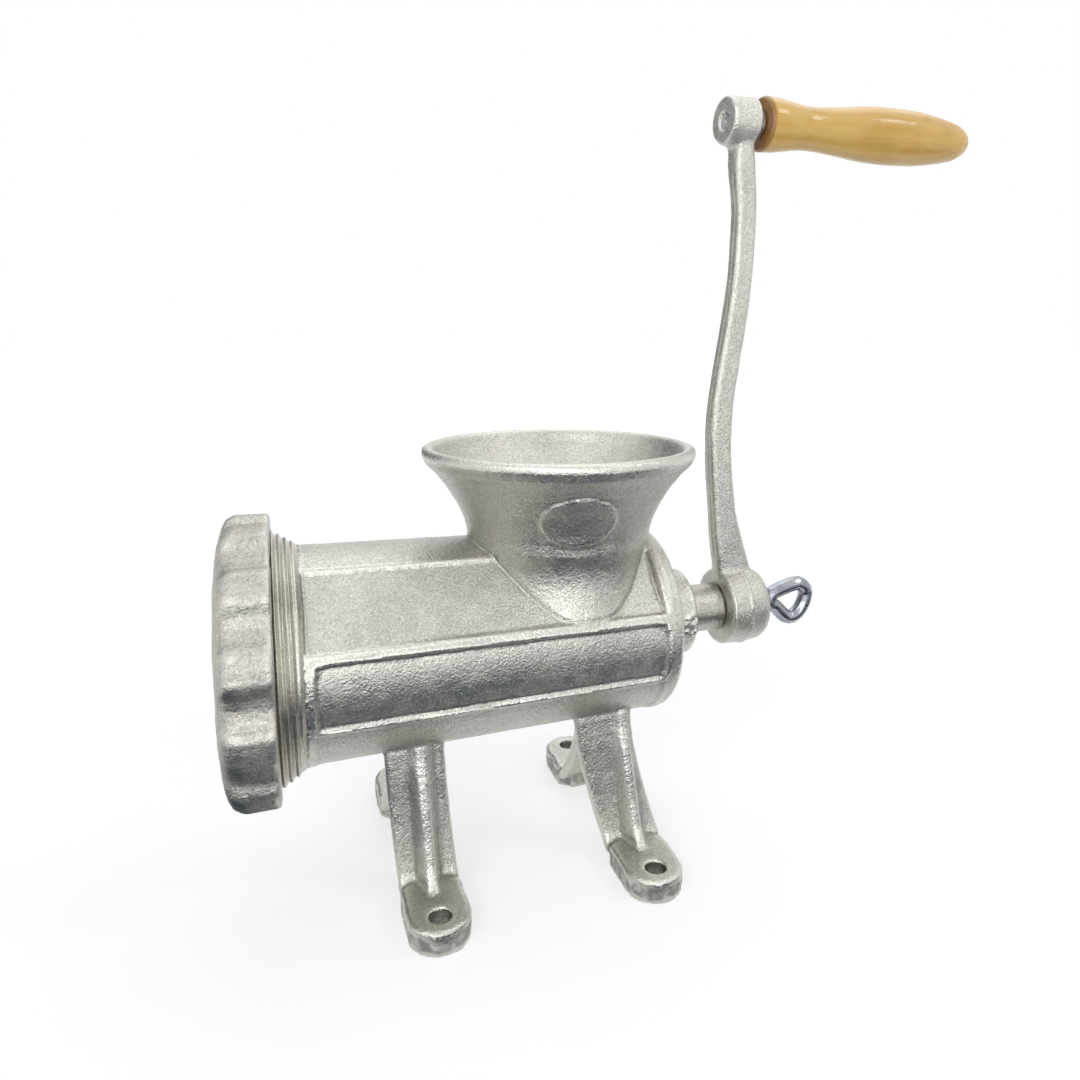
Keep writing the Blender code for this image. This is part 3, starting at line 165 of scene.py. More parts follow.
def around(values, edges):
    """Return, for each point, the mean of its neighbours' values."""
    count = len(values)
    first, second = edges[:, 0], edges[:, 1]
    degree = np.bincount(edges.ravel(), minlength=count)
    mean = np.empty_like(values)
    for column in range(values.shape[1]):
        total = np.bincount(first, values[second, column], count)
        total += np.bincount(second, values[first, column], count)
        mean[:, column] = total / degree
    return mean


def soften(points, edges, repeats):
    """Round edges off without shrinking the shape."""
    for _ in range(repeats):
        points = points + SOFTEN_PULL * (around(points, edges) - points)
        points = points - SOFTEN_PUSH * (around(points, edges) - points)
    return points


def smooth_step(low, high, values):
    """Return 0 below low, 1 above high and a smooth rise between."""
    share = np.clip((values - low) / (high - low), 0, 1)
    return share * share * (3 - 2 * share)


def fade_out(low, high, values):
    """Return 1 below low, 0 above high and a smooth fall between."""
    return 1 - smooth_step(low, high, values)


def band(limits, values):
    """Return 0 outside the outer two of four limits, 1 between the inner two."""
    start, full, last, end = limits
    return smooth_step(start, full, values) * fade_out(last, end, values)


def lumps(points, size, seed):
    """Return a smooth random height from -1 to 1 for each point, with lumps of a size."""
    low = points.min(axis=0) - size
    place = (points - low) / size
    cell = place.astype(int)
    blend = place - cell
    blend = blend * blend * (3 - 2 * blend)
    counts = cell.max(axis=0) + 2
    heights = np.random.default_rng(seed).random(tuple(counts), dtype=np.float32) * 2 - 1
    result = np.zeros(len(points))
    for corner in range(CORNERS_OF_A_CELL):
        step = np.array([corner & 1, corner >> 1 & 1, corner >> 2 & 1])
        weight = np.prod(np.where(step, blend, 1 - blend), axis=1)
        spot = cell + step
        result += weight * heights[spot[:, 0], spot[:, 1], spot[:, 2]]
    return result


def layered_lumps(points, *layers):
    """Return the sum of the layers of lumps at each point."""
    return sum(height * lumps(points, size, seed) for size, height, seed in layers)


def raise_points(target, height):
    """Move each point of the object along its normal by its height."""
    write_points(target, read_points(target) + read_normals(target) * height[:, None])


def grain(target, *layers):
    """Raise and sink the object's surface by layers of lumps."""
    raise_points(target, layered_lumps(read_points(target), *layers))


def mix_points(first, second, share):
    """Blend two arrays of points by a share for each point."""
    return first + (second - first) * share[:, None]


def from_line(points, z):
    """Return each point's distance from the line along X at a height."""
    return np.hypot(points[:, 1], points[:, 2] - z)


def true_round(points, centre, axis, segments, start=0.0):
    """Return points with the flats of a turned shape swollen to a true circle."""
    across = [index for index in range(3) if index != axis]
    middle = np.array([centre[index] for index in across])
    offset = points[:, across] - middle
    angle = np.arctan2(offset[:, 1], offset[:, 0]) - start
    half = math.pi / segments
    from_middle = np.mod(angle, 2 * half) - half
    swell = np.cos(from_middle) / math.cos(half)
    result = points.copy()
    result[:, across] = middle + offset * swell[:, None]
    return result


def stay_inside(target, *nodes):
    """Keep the object's points inside the box of the nodes that it stands for."""
    boxes = [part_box(node) for node in nodes]
    low = np.min([tuple(box[0]) for box in boxes], axis=0)
    high = np.max([tuple(box[1]) for box in boxes], axis=0)
    write_points(target, np.clip(read_points(target), low, high))


def store(target, name, values):
    """Keep a value for each point, for the materials."""
    attribute = target.data.attributes.new(name, 'FLOAT', 'POINT')
    attribute.data.foreach_set("value", values.astype(np.float32))


def mark_wear(target, reach=WEAR_REACH, depth=WEAR_DEPTH):
    """Store how far each point stands out from its surroundings: edges 1, hollows -1."""
    points = read_points(target)
    edges = read_edges(target)
    flat = points
    for _ in range(reach):
        flat = flat + WEAR_PULL * (around(flat, edges) - flat)
    proud = np.einsum("ij,ij->i", points - flat, read_normals(target)) / depth
    for _ in range(WEAR_BLUR):
        proud = around(proud[:, None], edges)[:, 0]
    store(target, "proud", np.clip(proud, -1, 1))


def finish_skin(piece, *nodes):
    """Keep a skin inside its nodes' box, mark its wear and shade it smooth."""
    stay_inside(piece, *nodes)
    mark_wear(piece)
    piece.data.shade_smooth()
    return piece


# Material nodes. A noise is the size of its features, its detail, its roughness and
# its stretch. A layer of colour is the signal that it follows, the levels between
# which it fades in, its full strength, and its colour.

EVEN = (1, 1, 1)

# Sockets of a node that mixes colours
FIRST_COLOUR = 6
SECOND_COLOUR = 7
MIXED_COLOUR = 2


def new_material(name, colour, metallic, roughness):
    """Return a material with its tree, shader and object coordinates."""
    material = bpy.data.materials.new(name)
    material.use_nodes = True
    tree = material.node_tree
    shader = tree.nodes["Principled BSDF"]
    shader.inputs["Base Color"].default_value = (*colour, 1)
    shader.inputs["Metallic"].default_value = metallic
    shader.inputs["Roughness"].default_value = roughness
    place = tree.nodes.new("ShaderNodeTexCoord").outputs["Object"]
    return material, tree, shader, place


def add_node(tree, kind, inputs=None, **settings):
    """Add a node with its settings, and set or link its inputs."""
    made = tree.nodes.new(kind)
    for name, value in settings.items():
        setattr(made, name, value)
    for key, value in (inputs or {}).items():
        if isinstance(value, bpy.types.NodeSocket):
            tree.links.new(value, made.inputs[key])
        else:
            made.inputs[key].default_value = value
    return made


def noise_of(tree, place, size, detail_level, roughness, stretch):
    """Return a noise from 0 to 1 with features of a size."""
    spread = add_node(tree, "ShaderNodeMapping", {"Vector": place, "Scale": stretch})
    made = add_node(tree, "ShaderNodeTexNoise",
                    {"Vector": spread.outputs["Vector"], "Scale": 1 / size,
                     "Detail": detail_level, "Roughness": roughness})
    return made.outputs["Fac"]


def noises_of(tree, place, noises):
    """Return the signals of a table of noises, by name."""
    return {name: noise_of(tree, place, *noise) for name, noise in noises.items()}


def point_value(tree, name):
    """Return a value that is stored for each point."""
    return add_node(tree, "ShaderNodeAttribute", attribute_name=name).outputs["Fac"]


def ranged(tree, value, low, high, start=0.0, end=1.0):
    """Return a value mapped smoothly from low..high to start..end, held at its ends."""
    made = add_node(tree, "ShaderNodeMapRange",
                    {"Value": value, "From Min": low, "From Max": high, "To Min": start,
                     "To Max": end},
                    interpolation_type='SMOOTHSTEP')
    return made.outputs["Result"]


def maths(tree, operation, first, second):
    """Return the result of a maths node."""
    made = add_node(tree, "ShaderNodeMath", {0: first, 1: second}, operation=operation)
    return made.outputs["Value"]


def tint(tree, factor, first, second):
    """Return two colours mixed by a factor."""
    made = add_node(tree, "ShaderNodeMix", {"Factor": factor}, data_type='RGBA')
    for number, colour in ((FIRST_COLOUR, first), (SECOND_COLOUR, second)):
        socket = made.inputs[number]
        if isinstance(colour, bpy.types.NodeSocket):
            tree.links.new(colour, socket)
        else:
            socket.default_value = (*colour, 1)
    return made.outputs[MIXED_COLOUR]


def layered_colour(tree, base, signals, layers):
    """Return a colour with layers of colour over it."""
    for signal, low, high, strength, colour in layers:
        factor = ranged(tree, signals[signal], low, high, 0, strength)
        base = tint(tree, factor, base, colour)
    return base


def shade_of(colour, share):
    """Return a colour made darker or brighter by a share."""
    return tuple(share * part for part in colour)


def bump(tree, height, distance, after=None):
    """Return a normal from a height, on top of another normal."""
    inputs = {"Height": height, "Distance": distance, "Strength": 1.0}
    if after is not None:
        inputs["Normal"] = after
    return add_node(tree, "ShaderNodeBump", inputs).outputs["Normal"]


# Cast metal. Its peel is the dimpled skin of the casting. A layer's last number is
# its shade of the metal's own colour. Only the casting stores chips and shade, on its
# feet: their sides darken near the floor, dark chipped casting with painted shade.

CAST_NOISES = {
    "clouds": (30 * MM, 4, 0.55, EVEN),
    "patches": (7 * MM, 3, 0.55, EVEN),
    "sparkle": (0.45 * MM, 1, 0.55, EVEN),
    "specks": (1.6 * MM, 4, 0.7, EVEN),
}
PEEL_DETAIL = 2
PEEL_ROUGHNESS = 0.55
CLOUD_LEVELS = (0.35, 0.65)
CLOUD_SHADE = 0.86
CAST_LAYERS = (
    ("patches", 0.45, 0.72, 0.45, 1.16),
    ("peel", 0.54, 0.34, 0.55, 0.60),
    ("sparkle", 0.56, 0.72, 1.0, 1.55),
    # darker feet near the floor: dark chipped casting with painted shade
    ("chips_and_shade", 0.1, 0.9, 0.8, 0.30),
    ("proud", 0.30, 0.95, 0.7, 1.16),
)
HOLLOW_LAYER = ("proud", -0.40, -1.0, 0.35)
HOLLOW_SHADE = 0.50
SPECK_LAYER = ("specks", 0.70, 0.78, 0.55)
SPECK_SHADE = 0.35
PATCH_LEVELS = (0.3, 0.7)
PATCH_ROUGHNESS = (-0.05, 0.07)
WORN_LEVELS = (0.2, 0.95)
WORN_ROUGHNESS = -0.10
SPARKLE_HEIGHT = 0.10 * MM

# Each cast metal's colour, peel size, peel height, roughness and stain in its hollows
IRON = (0.55, 0.545, 0.50)
CAST_METALS = {
    "tinned_iron": (IRON, 1.0 * MM, 0.30 * MM, 0.38, None),
    "nut_iron": ((0.50, 0.49, 0.45), 1.2 * MM, 0.36 * MM, 0.52, None),
    "crank_iron": (IRON, 0.9 * MM, 0.26 * MM, 0.38, None),
    "auger_iron": ((0.48, 0.47, 0.42), 1.2 * MM, 0.12 * MM, 0.34, None),
    "thread_iron": ((0.56, 0.54, 0.48), 0.6 * MM, 0.10 * MM, 0.32, (0.10, 0.085, 0.06)),
}


def cast_metal(name):
    """Return a tinned casting's metal: peel, sparkle, bright worn edges, dull hollows."""
    colour, peel_size, peel_height, roughness, stain = CAST_METALS[name]
    material, tree, shader, place = new_material(name, colour, 1.0, roughness)
    signals = noises_of(tree, place, CAST_NOISES)
    signals["peel"] = noise_of(tree, place, peel_size, PEEL_DETAIL, PEEL_ROUGHNESS, EVEN)
    signals["proud"] = point_value(tree, "proud")
    signals["chips_and_shade"] = point_value(tree, "chips_and_shade")
    layers = [(*layer, shade_of(colour, shade)) for *layer, shade in CAST_LAYERS]
    layers.append((*HOLLOW_LAYER, stain or shade_of(colour, HOLLOW_SHADE)))
    layers.append((*SPECK_LAYER, shade_of(colour, SPECK_SHADE)))
    base = tint(tree, ranged(tree, signals["clouds"], *CLOUD_LEVELS),
                shade_of(colour, CLOUD_SHADE), colour)
    base = layered_colour(tree, base, signals, layers)
    tree.links.new(base, shader.inputs["Base Color"])
    less, more = PATCH_ROUGHNESS
    patchy = ranged(tree, signals["patches"], *PATCH_LEVELS, roughness + less,
                    roughness + more)
    worn = ranged(tree, signals["proud"], *WORN_LEVELS, 0, WORN_ROUGHNESS)
    tree.links.new(maths(tree, 'ADD', patchy, worn), shader.inputs["Roughness"])
    normal = bump(tree, signals["peel"], peel_height)
    normal = bump(tree, signals["sparkle"], SPARKLE_HEIGHT, normal)
    tree.links.new(normal, shader.inputs["Normal"])
    return material


# Steel and zinc, each with its colour, roughness and the stretch of its fine marks

PLAIN_METALS = {
    "bright_zinc": ((0.43, 0.46, 0.50), 0.20, (0.3, 1, 1)),
    "ground_steel": ((0.60, 0.60, 0.61), 0.28, (1, 1, 0.2)),
    "pin_steel": ((0.50, 0.50, 0.51), 0.34, EVEN),
}
MARK_SIZE = 1.2 * MM
MARK_DETAIL = 4
MARK_NOISE_ROUGHNESS = 0.6
MARK_HEIGHT = 0.03 * MM
MARK_LEVELS = (0.3, 0.7)
MARK_ROUGHNESS = (-0.06, 0.12)
DULL_NOISE = (5 * MM, 3, 0.55, EVEN)
DULL_LEVELS = (0.4, 0.65)
DULL_SHADE = 0.68
MARK_LAYER = ("marks", 0.6, 0.4, 0.4)


def plain_metal(name):
    """Return bright steel or zinc with fine marks."""
    colour, roughness, stretch = PLAIN_METALS[name]
    material, tree, shader, place = new_material(name, colour, 1.0, roughness)
    marks = noise_of(tree, place, MARK_SIZE, MARK_DETAIL, MARK_NOISE_ROUGHNESS, stretch)
    patches = noise_of(tree, place, *DULL_NOISE)
    dull = shade_of(colour, DULL_SHADE)
    base = tint(tree, ranged(tree, patches, *DULL_LEVELS), dull, colour)
    base = layered_colour(tree, base, {"marks": marks}, [(*MARK_LAYER, dull)])
    tree.links.new(base, shader.inputs["Base Color"])
    less, more = MARK_ROUGHNESS
    tree.links.new(ranged(tree, marks, *MARK_LEVELS, roughness + less, roughness + more),
                   shader.inputs["Roughness"])
    tree.links.new(bump(tree, marks, MARK_HEIGHT), shader.inputs["Normal"])
    return material


# Varnished wood, with a brown end towards the boss

WOOD_PALE = (0.80, 0.50, 0.115)
WOOD_DEEP = (0.68, 0.375, 0.07)
WOOD_NOISES = {
    "long_grain": (6 * MM, 5, 0.6, (0.10, 1, 1)),
    "fibres": (1.0 * MM, 3, 0.6, (0.05, 1, 1)),
    "blotches": (16 * MM, 3, 0.55, EVEN),
    "dents": (2.4 * MM, 2, 0.5, EVEN),
    "waves": (5.0 * MM, 2, 0.5, (0.45, 1, 1)),
}
LONG_GRAIN_LEVELS = (0.35, 0.65)
WOOD_LAYERS = (
    ("fibres", 0.55, 0.75, 0.35, (0.52, 0.26, 0.05)),
    ("blotches", 0.45, 0.7, 0.45, (0.86, 0.58, 0.17)),
    ("dents", 0.72, 0.82, 0.5, (0.40, 0.20, 0.06)),
    ("along", GRIP_LOW.x + 2.2 * MM, GRIP_LOW.x + 1.0 * MM, 0.85, (0.33, 0.15, 0.045)),
)
WOOD_ROUGHNESS = 0.40
FIBRE_LEVELS = (0.3, 0.7)
FIBRE_ROUGHNESS = (0.36, 0.50)
FIBRE_HEIGHT = 0.04 * MM
WAVE_HEIGHT = 0.22 * MM
VARNISH_WEIGHT = 0.5
VARNISH_ROUGHNESS = 0.09


def varnished_wood(name):
    """Return pale turned wood under clear varnish."""
    material, tree, shader, place = new_material(name, WOOD_PALE, 0.0, WOOD_ROUGHNESS)
    signals = noises_of(tree, place, WOOD_NOISES)
    split = add_node(tree, "ShaderNodeSeparateXYZ", {"Vector": place})
    signals["along"] = split.outputs["X"]
    base = tint(tree, ranged(tree, signals["long_grain"], *LONG_GRAIN_LEVELS),
                WOOD_DEEP, WOOD_PALE)
    base = layered_colour(tree, base, signals, WOOD_LAYERS)
    tree.links.new(base, shader.inputs["Base Color"])
    shader.inputs["Coat Weight"].default_value = VARNISH_WEIGHT
    shader.inputs["Coat Roughness"].default_value = VARNISH_ROUGHNESS
    tree.links.new(ranged(tree, signals["fibres"], *FIBRE_LEVELS, *FIBRE_ROUGHNESS),
                   shader.inputs["Roughness"])
    normal = bump(tree, signals["fibres"], FIBRE_HEIGHT)
    normal = bump(tree, signals["waves"], WAVE_HEIGHT, normal)
    tree.links.new(normal, shader.inputs["Normal"])
    varnish_normal = bump(tree, signals["waves"], WAVE_HEIGHT)
    tree.links.new(varnish_normal, shader.inputs["Coat Normal"])
    return material


# Red vulcanised fibre

BOARD_COLOUR = (0.30, 0.10, 0.06)
BOARD_DEEP = (0.20, 0.055, 0.035)
BOARD_PALE = (0.36, 0.13, 0.075)
BOARD_ROUGHNESS = 0.6
BOARD_NOISE = (0.8 * MM, 4, 0.6, (1, 0.2, 1))
BOARD_LEVELS = (0.35, 0.65)
BOARD_HEIGHT = 0.05 * MM


def fibre_board(name):
    """Return red vulcanised fibre."""
    material, tree, shader, place = new_material(name, BOARD_COLOUR, 0.0, BOARD_ROUGHNESS)
    threads = noise_of(tree, place, *BOARD_NOISE)
    base = tint(tree, ranged(tree, threads, *BOARD_LEVELS), BOARD_DEEP, BOARD_PALE)
    tree.links.new(base, shader.inputs["Base Color"])
    tree.links.new(bump(tree, threads, BOARD_HEIGHT), shader.inputs["Normal"])
    return material


# The barrel's outside, as the model has it. Angles here are from the top of the
# barrel. A panel is the angles and the places along X between which it lies, the
# radius of its corners and the width of its edge. A low border runs round the round
# panel, the bar is the plain strip under it, and the belly is the underside.

BARREL_LENGTH = 156.9 * MM
BARREL_REAR_X = NUT_BACK_X + BARREL_LENGTH
FRONT_RADIUS = 42.5 * MM
REAR_RADIUS = 39.6 * MM
PANEL_REAR_X = BARREL_REAR_X - 8.5 * MM
PANEL_STEP = 1.7 * MM
FLAT_PANEL = (26.6, 70.2, NUT_BACK_X + 9.4 * MM, PANEL_REAR_X, 1.5 * MM, 1.6 * MM)
FLAT_MIDDLE = 48.4
FLAT_HALF = 20.9
FLAT_ANGLES = (27.5, 69.3)
ROUND_PANEL = (76.6, 111.4, NUT_BACK_X + 13 * MM, PANEL_REAR_X, 5.0 * MM, 1.3 * MM)
BORDER_PLACE = 1.1 * MM
BORDER_WIDTH = 0.8 * MM
BORDER_HEIGHT = 0.35 * MM
BAR_BAND = (112, 113.5, 151, 153)
BAR_SINK = 0.6 * MM
BELLY_START = 151
BELLY_FULL = 153.5
BELLY_SINK = 1.4 * MM
SUNK_BAND = (NUT_BACK_X + 12 * MM, NUT_BACK_X + 14 * MM,
             PANEL_REAR_X - 1 * MM, PANEL_REAR_X + 1 * MM)


def barrel_radius(x):
    """Return the barrel's outer radius at x."""
    share = (x - NUT_BACK_X) / BARREL_LENGTH
    return FRONT_RADIUS + share * (REAR_RADIUS - FRONT_RADIUS)


def panel_mask(x, angle, radius, panel):
    """Return 1 inside a panel and 0 outside, and the distance outside its edge."""
    start_angle, end_angle, start_x, end_x, corner, ramp = panel
    along = np.abs(x - (start_x + end_x) / 2) - (end_x - start_x) / 2 + corner
    middle = (start_angle + end_angle) / 2
    half = np.radians((end_angle - start_angle) / 2) * radius
    over = np.abs(np.radians(angle - middle) * radius) - half + corner
    outside = np.hypot(np.maximum(along, 0), np.maximum(over, 0))
    distance = outside + np.minimum(np.maximum(along, over), 0) - corner
    return fade_out(-ramp / 2, ramp / 2, distance), distance


def barrel_surface(x, angle):
    """Return the barrel's outer radius with its panels, ribs and belly."""
    radius = barrel_radius(x)
    flat, _ = panel_mask(x, angle, radius, FLAT_PANEL)
    from_middle = np.clip(angle, *FLAT_ANGLES) - FLAT_MIDDLE
    chord = np.cos(np.radians(FLAT_HALF)) / np.cos(np.radians(from_middle))
    result = radius + flat * ((radius - PANEL_STEP) * chord - radius)
    panel, distance = panel_mask(x, angle, radius, ROUND_PANEL)
    result = result - panel * PANEL_STEP
    border = np.exp(-((distance - BORDER_PLACE) / BORDER_WIDTH) ** 2)
    result = result + BORDER_HEIGHT * border * (1 - panel)
    bar = band(BAR_BAND, angle)
    belly = smooth_step(BELLY_START, BELLY_FULL, angle)
    return result - band(SUNK_BAND, x) * (bar * BAR_SINK + belly * BELLY_SINK)


# The casting. The hopper's root is given as heights above the axis and radii, in
# millimetres.

CASTING_VOXEL = 0.75 * MM
CASTING_SOFTENING = 8
CASTING_GRAIN = ((9 * MM, 0.10 * MM, 3), (2.2 * MM, 0.055 * MM, 4))
HOPPER_X = BARREL_REAR_X - 42.0 * MM
HOPPER_SEGMENTS = 40
HOPPER_ROUND_HEIGHTS = (134 * MM, 139 * MM)
HOPPER_ROOT = ((13.4, 38.19), (18.1, 36.86), (23.6, 35.83), (29.9, 35.42),
               (35.1, 36.29), (39.4, 38.0))
ROOT_DEGREE = 3
ROOT_RANGE = (13, 40)
ROOT_BAND = (13 * MM, 16 * MM, 37 * MM, 40 * MM)
ROOT_SKIN = (0.7 * MM, 1.3 * MM)
BARREL_BAND = (NUT_BACK_X + 9.4 * MM, NUT_BACK_X + 10 * MM,
               BARREL_REAR_X - 5 * MM, BARREL_REAR_X - 4 * MM)
BARREL_SKIN = (0.6 * MM, 1.4 * MM)
PLAIN_THREAD_END_X = NUT_BACK_X + 8.6 * MM
PLAIN_THREAD_RADIUS = 42.4 * MM
PLAIN_THREAD_SINK = 1.8 * MM

# Feet
FOOT_X = (NUT_BACK_X + 52.3 * MM, BARREL_REAR_X - 18.6 * MM)
FOOT_END_Y = 50.1 * MM
FOOT_RADIUS = 11.8 * MM
FOOT_TOP = 9.5 * MM
FOOT_SEGMENTS = 24
FOOT_MARGIN = 1 * MM
FOOT_SKIN = 3 * MM
DENT_HEIGHTS = (8 * MM, 10 * MM)
DENT_REACHES = (24 * MM, 30 * MM)
DENT_STEEPNESS = (0.3, 0.7)
DENTS = ((5.5 * MM, 0.38 * MM, 51), (2.0 * MM, 0.16 * MM, 52))
# how dark the feet's sides get near the floor: dark chips with painted shade
CHIPS_AND_SHADE_LEVEL = 0.75
CHIPS_AND_SHADE_LUMPS = (2.5 * MM, 0.5, 54)

# Stub of the broken gate, on the near side of the collar
GATE_PLACE = (21.2 * MM, -18.7 * MM, AXIS_Z - 1.0 * MM)
GATE_STRETCH = (1.0, 1.0, 0.55)
GATE_REACHES = (2.4 * MM, 4.2 * MM)
GATE_HEIGHT = 0.35 * MM
GATE_LUMPS = (1.5 * MM, 0.75 * MM, 53)


def draw_hopper_root(points):
    """Return points with the hopper's root, above the barrel, on one smooth surface."""
    heights, radii = np.array(HOPPER_ROOT).T
    up = points[:, 2] - AXIS_Z
    curve = np.polyfit(heights, radii, ROOT_DEGREE)
    radius = np.polyval(curve, np.clip(up / MM, *ROOT_RANGE)) * MM
    across = np.hypot(points[:, 0] - HOPPER_X, points[:, 1])
    share = fade_out(*ROOT_SKIN, np.abs(across - radius)) * band(ROOT_BAND, up)
    scale = 1 + share * (radius / across - 1)
    result = points.copy()
    result[:, 0] = HOPPER_X + (points[:, 0] - HOPPER_X) * scale
    result[:, 1] = points[:, 1] * scale
    return result


def round_feet(points):
    """Return points with the feet's ends swollen from flats to true rounds."""
    for foot_x in FOOT_X:
        for side in (-1, 1):
            centre = (foot_x, side * FOOT_END_Y, 0)
            reach = np.hypot(points[:, 0] - foot_x, points[:, 1] - centre[1])
            near = side * points[:, 1] > FOOT_END_Y
            near &= points[:, 2] < FOOT_TOP + FOOT_MARGIN
            near &= reach < FOOT_RADIUS + FOOT_MARGIN
            near &= reach > FOOT_RADIUS - FOOT_SKIN
            turned = true_round(points, centre, 2, FOOT_SEGMENTS)
            points = mix_points(points, turned, near.astype(float))
    return points


def scale_from_axis(points, scale):
    """Move points away from the barrel's axis, or towards it, by a scale for each."""
    points[:, 1] *= scale
    points[:, 2] = AXIS_Z + (points[:, 2] - AXIS_Z) * scale


def draw_barrel(points):
    """Put the points of the barrel's outside on its true surface."""
    x = points[:, 0]
    angle = np.degrees(np.arctan2(np.abs(points[:, 1]), points[:, 2] - AXIS_Z))
    radius = from_line(points, AXIS_Z)
    surface = barrel_surface(x, angle)
    share = fade_out(*BARREL_SKIN, np.abs(radius - surface)) * band(BARREL_BAND, x)
    scale_from_axis(points, 1 + share * (surface / radius - 1))


def sink_thread(points):
    """Sink the model's plain thread rings under the thread that is made apart."""
    radius = from_line(points, AXIS_Z)
    on_thread = (points[:, 0] < PLAIN_THREAD_END_X) & (radius > PLAIN_THREAD_RADIUS)
    sunk = (radius - PLAIN_THREAD_SINK) / np.maximum(radius, MM)
    scale_from_axis(points, np.where(on_thread, sunk, 1))


def batter_and_shade(casting):
    """Dent the feet's sides and darken them near the floor, dark chips with painted shade, and
    leave the gate's broken stub on the collar.
    """
    points = read_points(casting)
    normals = read_normals(casting)
    sides = fade_out(*DENT_HEIGHTS, points[:, 2])
    sides = sides * smooth_step(*DENT_REACHES, np.abs(points[:, 1]))
    sides = sides * smooth_step(*DENT_STEEPNESS, np.hypot(normals[:, 0], normals[:, 1]))
    height = sides * layered_lumps(points, *DENTS)
    from_gate = np.linalg.norm((points - np.array(GATE_PLACE)) * np.array(GATE_STRETCH), axis=1)
    broken = fade_out(*GATE_REACHES, from_gate)
    height += broken * (GATE_HEIGHT + layered_lumps(points, GATE_LUMPS))
    raise_points(casting, height)
    # darker sides of the feet near the floor: dark chipped casting and painted shade
    chips_and_shade = sides * (CHIPS_AND_SHADE_LEVEL + layered_lumps(points, CHIPS_AND_SHADE_LUMPS))
    store(casting, "chips_and_shade", np.clip(chips_and_shade, 0, 1))


def make_casting():
    """Make the casting's skin: true round barrel and hopper, soft edges and cast grain."""
    casting = copy_of("body_casting", "casting")
    remesh(casting, full_or_quick(CASTING_VOXEL))
    points = read_points(casting)
    hopper = true_round(points, (HOPPER_X, 0, 0), 2, HOPPER_SEGMENTS)
    points = mix_points(points, hopper, smooth_step(*HOPPER_ROUND_HEIGHTS, points[:, 2]))
    points = draw_hopper_root(points)
    points = round_feet(points)
    draw_barrel(points)
    sink_thread(points)
    repeats = full_or_quick(CASTING_SOFTENING)
    write_points(casting, soften(points, read_edges(casting), repeats))
    batter_and_shade(casting)
    grain(casting, *CASTING_GRAIN)
    return finish_skin(casting, "body_casting")


# The thread behind the nut. It runs out on a cone, and then falls to the barrel.

THREAD_PITCH = 2.5 * MM
THREAD_DEPTH = 1.15 * MM
THREAD_RADIUS = 49 * MM
THREAD_FLANK = 1.25
THREAD_START_X = NUT_BACK_X - 4 * MM
THREAD_RUNOUT_X = NUT_BACK_X + 7 * MM
THREAD_END_X = NUT_BACK_X + 9.5 * MM
RUNOUT_SINK = 4.2 * MM
RUNOUT_TUCK = 0.1 * MM
THREAD_END_INNER_RADIUS = 39.5 * MM
THREAD_START_INNER_RADIUS = 43 * MM
THREAD_TURN_STEPS = 240
THREAD_LENGTH_STEPS = 96
THREAD_GRAIN = (1.5 * MM, 0.05 * MM, 8)
THREAD_WEAR_REACH = 3
THREAD_WEAR_DEPTH = 0.12 * MM


def thread_radius(x, turned):
    """Return the thread's radius at x, for a share of a turn."""
    run = (x - NUT_BACK_X) / (THREAD_RUNOUT_X - NUT_BACK_X)
    cone = THREAD_RADIUS - RUNOUT_SINK * max(0.0, min(1.0, run))
    fall = max(0.0, (x - THREAD_RUNOUT_X) / (THREAD_END_X - THREAD_RUNOUT_X))
    phase = (x - THREAD_START_X) / THREAD_PITCH - turned
    groove = abs(2 * (phase - math.floor(phase)) - 1)
    cut = THREAD_DEPTH * min(1.0, THREAD_FLANK * groove) * (1 - fall)
    return (cone - cut) * (1 - fall) + (barrel_radius(THREAD_END_X) - RUNOUT_TUCK) * fall


def thread_ring(x, radii):
    """Return a ring of points round the barrel's axis, with a radius for each."""
    ring = []
    for step, radius in enumerate(radii):
        turn = math.tau * step / THREAD_TURN_STEPS
        ring.append((x, radius * math.cos(turn), AXIS_Z + radius * math.sin(turn)))
    return ring


def make_thread():
    """Make the thread that runs out behind the nut, as a true helix on its cone."""
    shares = [step / THREAD_TURN_STEPS for step in range(THREAD_TURN_STEPS)]
    rings = []
    for step in range(THREAD_LENGTH_STEPS + 1):
        x = THREAD_START_X + (THREAD_END_X - THREAD_START_X) * step / THREAD_LENGTH_STEPS
        rings.append(thread_ring(x, [thread_radius(x, share) for share in shares]))
    rings.append(thread_ring(THREAD_END_X, [THREAD_END_INNER_RADIUS] * len(shares)))
    rings.append(thread_ring(THREAD_START_X, [THREAD_START_INNER_RADIUS] * len(shares)))
    points = [point for ring in rings for point in ring]
    faces = []
    for row in range(len(rings)):
        here = row * THREAD_TURN_STEPS
        following = (row + 1) % len(rings) * THREAD_TURN_STEPS
        for step in range(THREAD_TURN_STEPS):
            after = (step + 1) % THREAD_TURN_STEPS
            faces.append((here + step, here + after, following + after, following + step))
    thread = new_piece("thread", points, faces)
    grain(thread, THREAD_GRAIN)
    mark_wear(thread, THREAD_WEAR_REACH, THREAD_WEAR_DEPTH)
    thread.data.shade_smooth()
    return thread


# The ring nut

NUT_VOXEL = 0.7 * MM
NUT_SOFTENING = 14
NUT_GRAIN = ((8 * MM, 0.22 * MM, 11), (2.4 * MM, 0.09 * MM, 12))


def make_nut():
    """Make the ring nut's skin, with soft lobes and a coarse cast grain."""
    nut = copy_of("ring_nut", "lobed_nut")
    remesh(nut, full_or_quick(NUT_VOXEL))
    repeats = full_or_quick(NUT_SOFTENING)
    write_points(nut, soften(read_points(nut), read_edges(nut), repeats))
    grain(nut, *NUT_GRAIN)
    return finish_skin(nut, "ring_nut")


# The crank. Reaches are from the axis of the hub or of the boss.

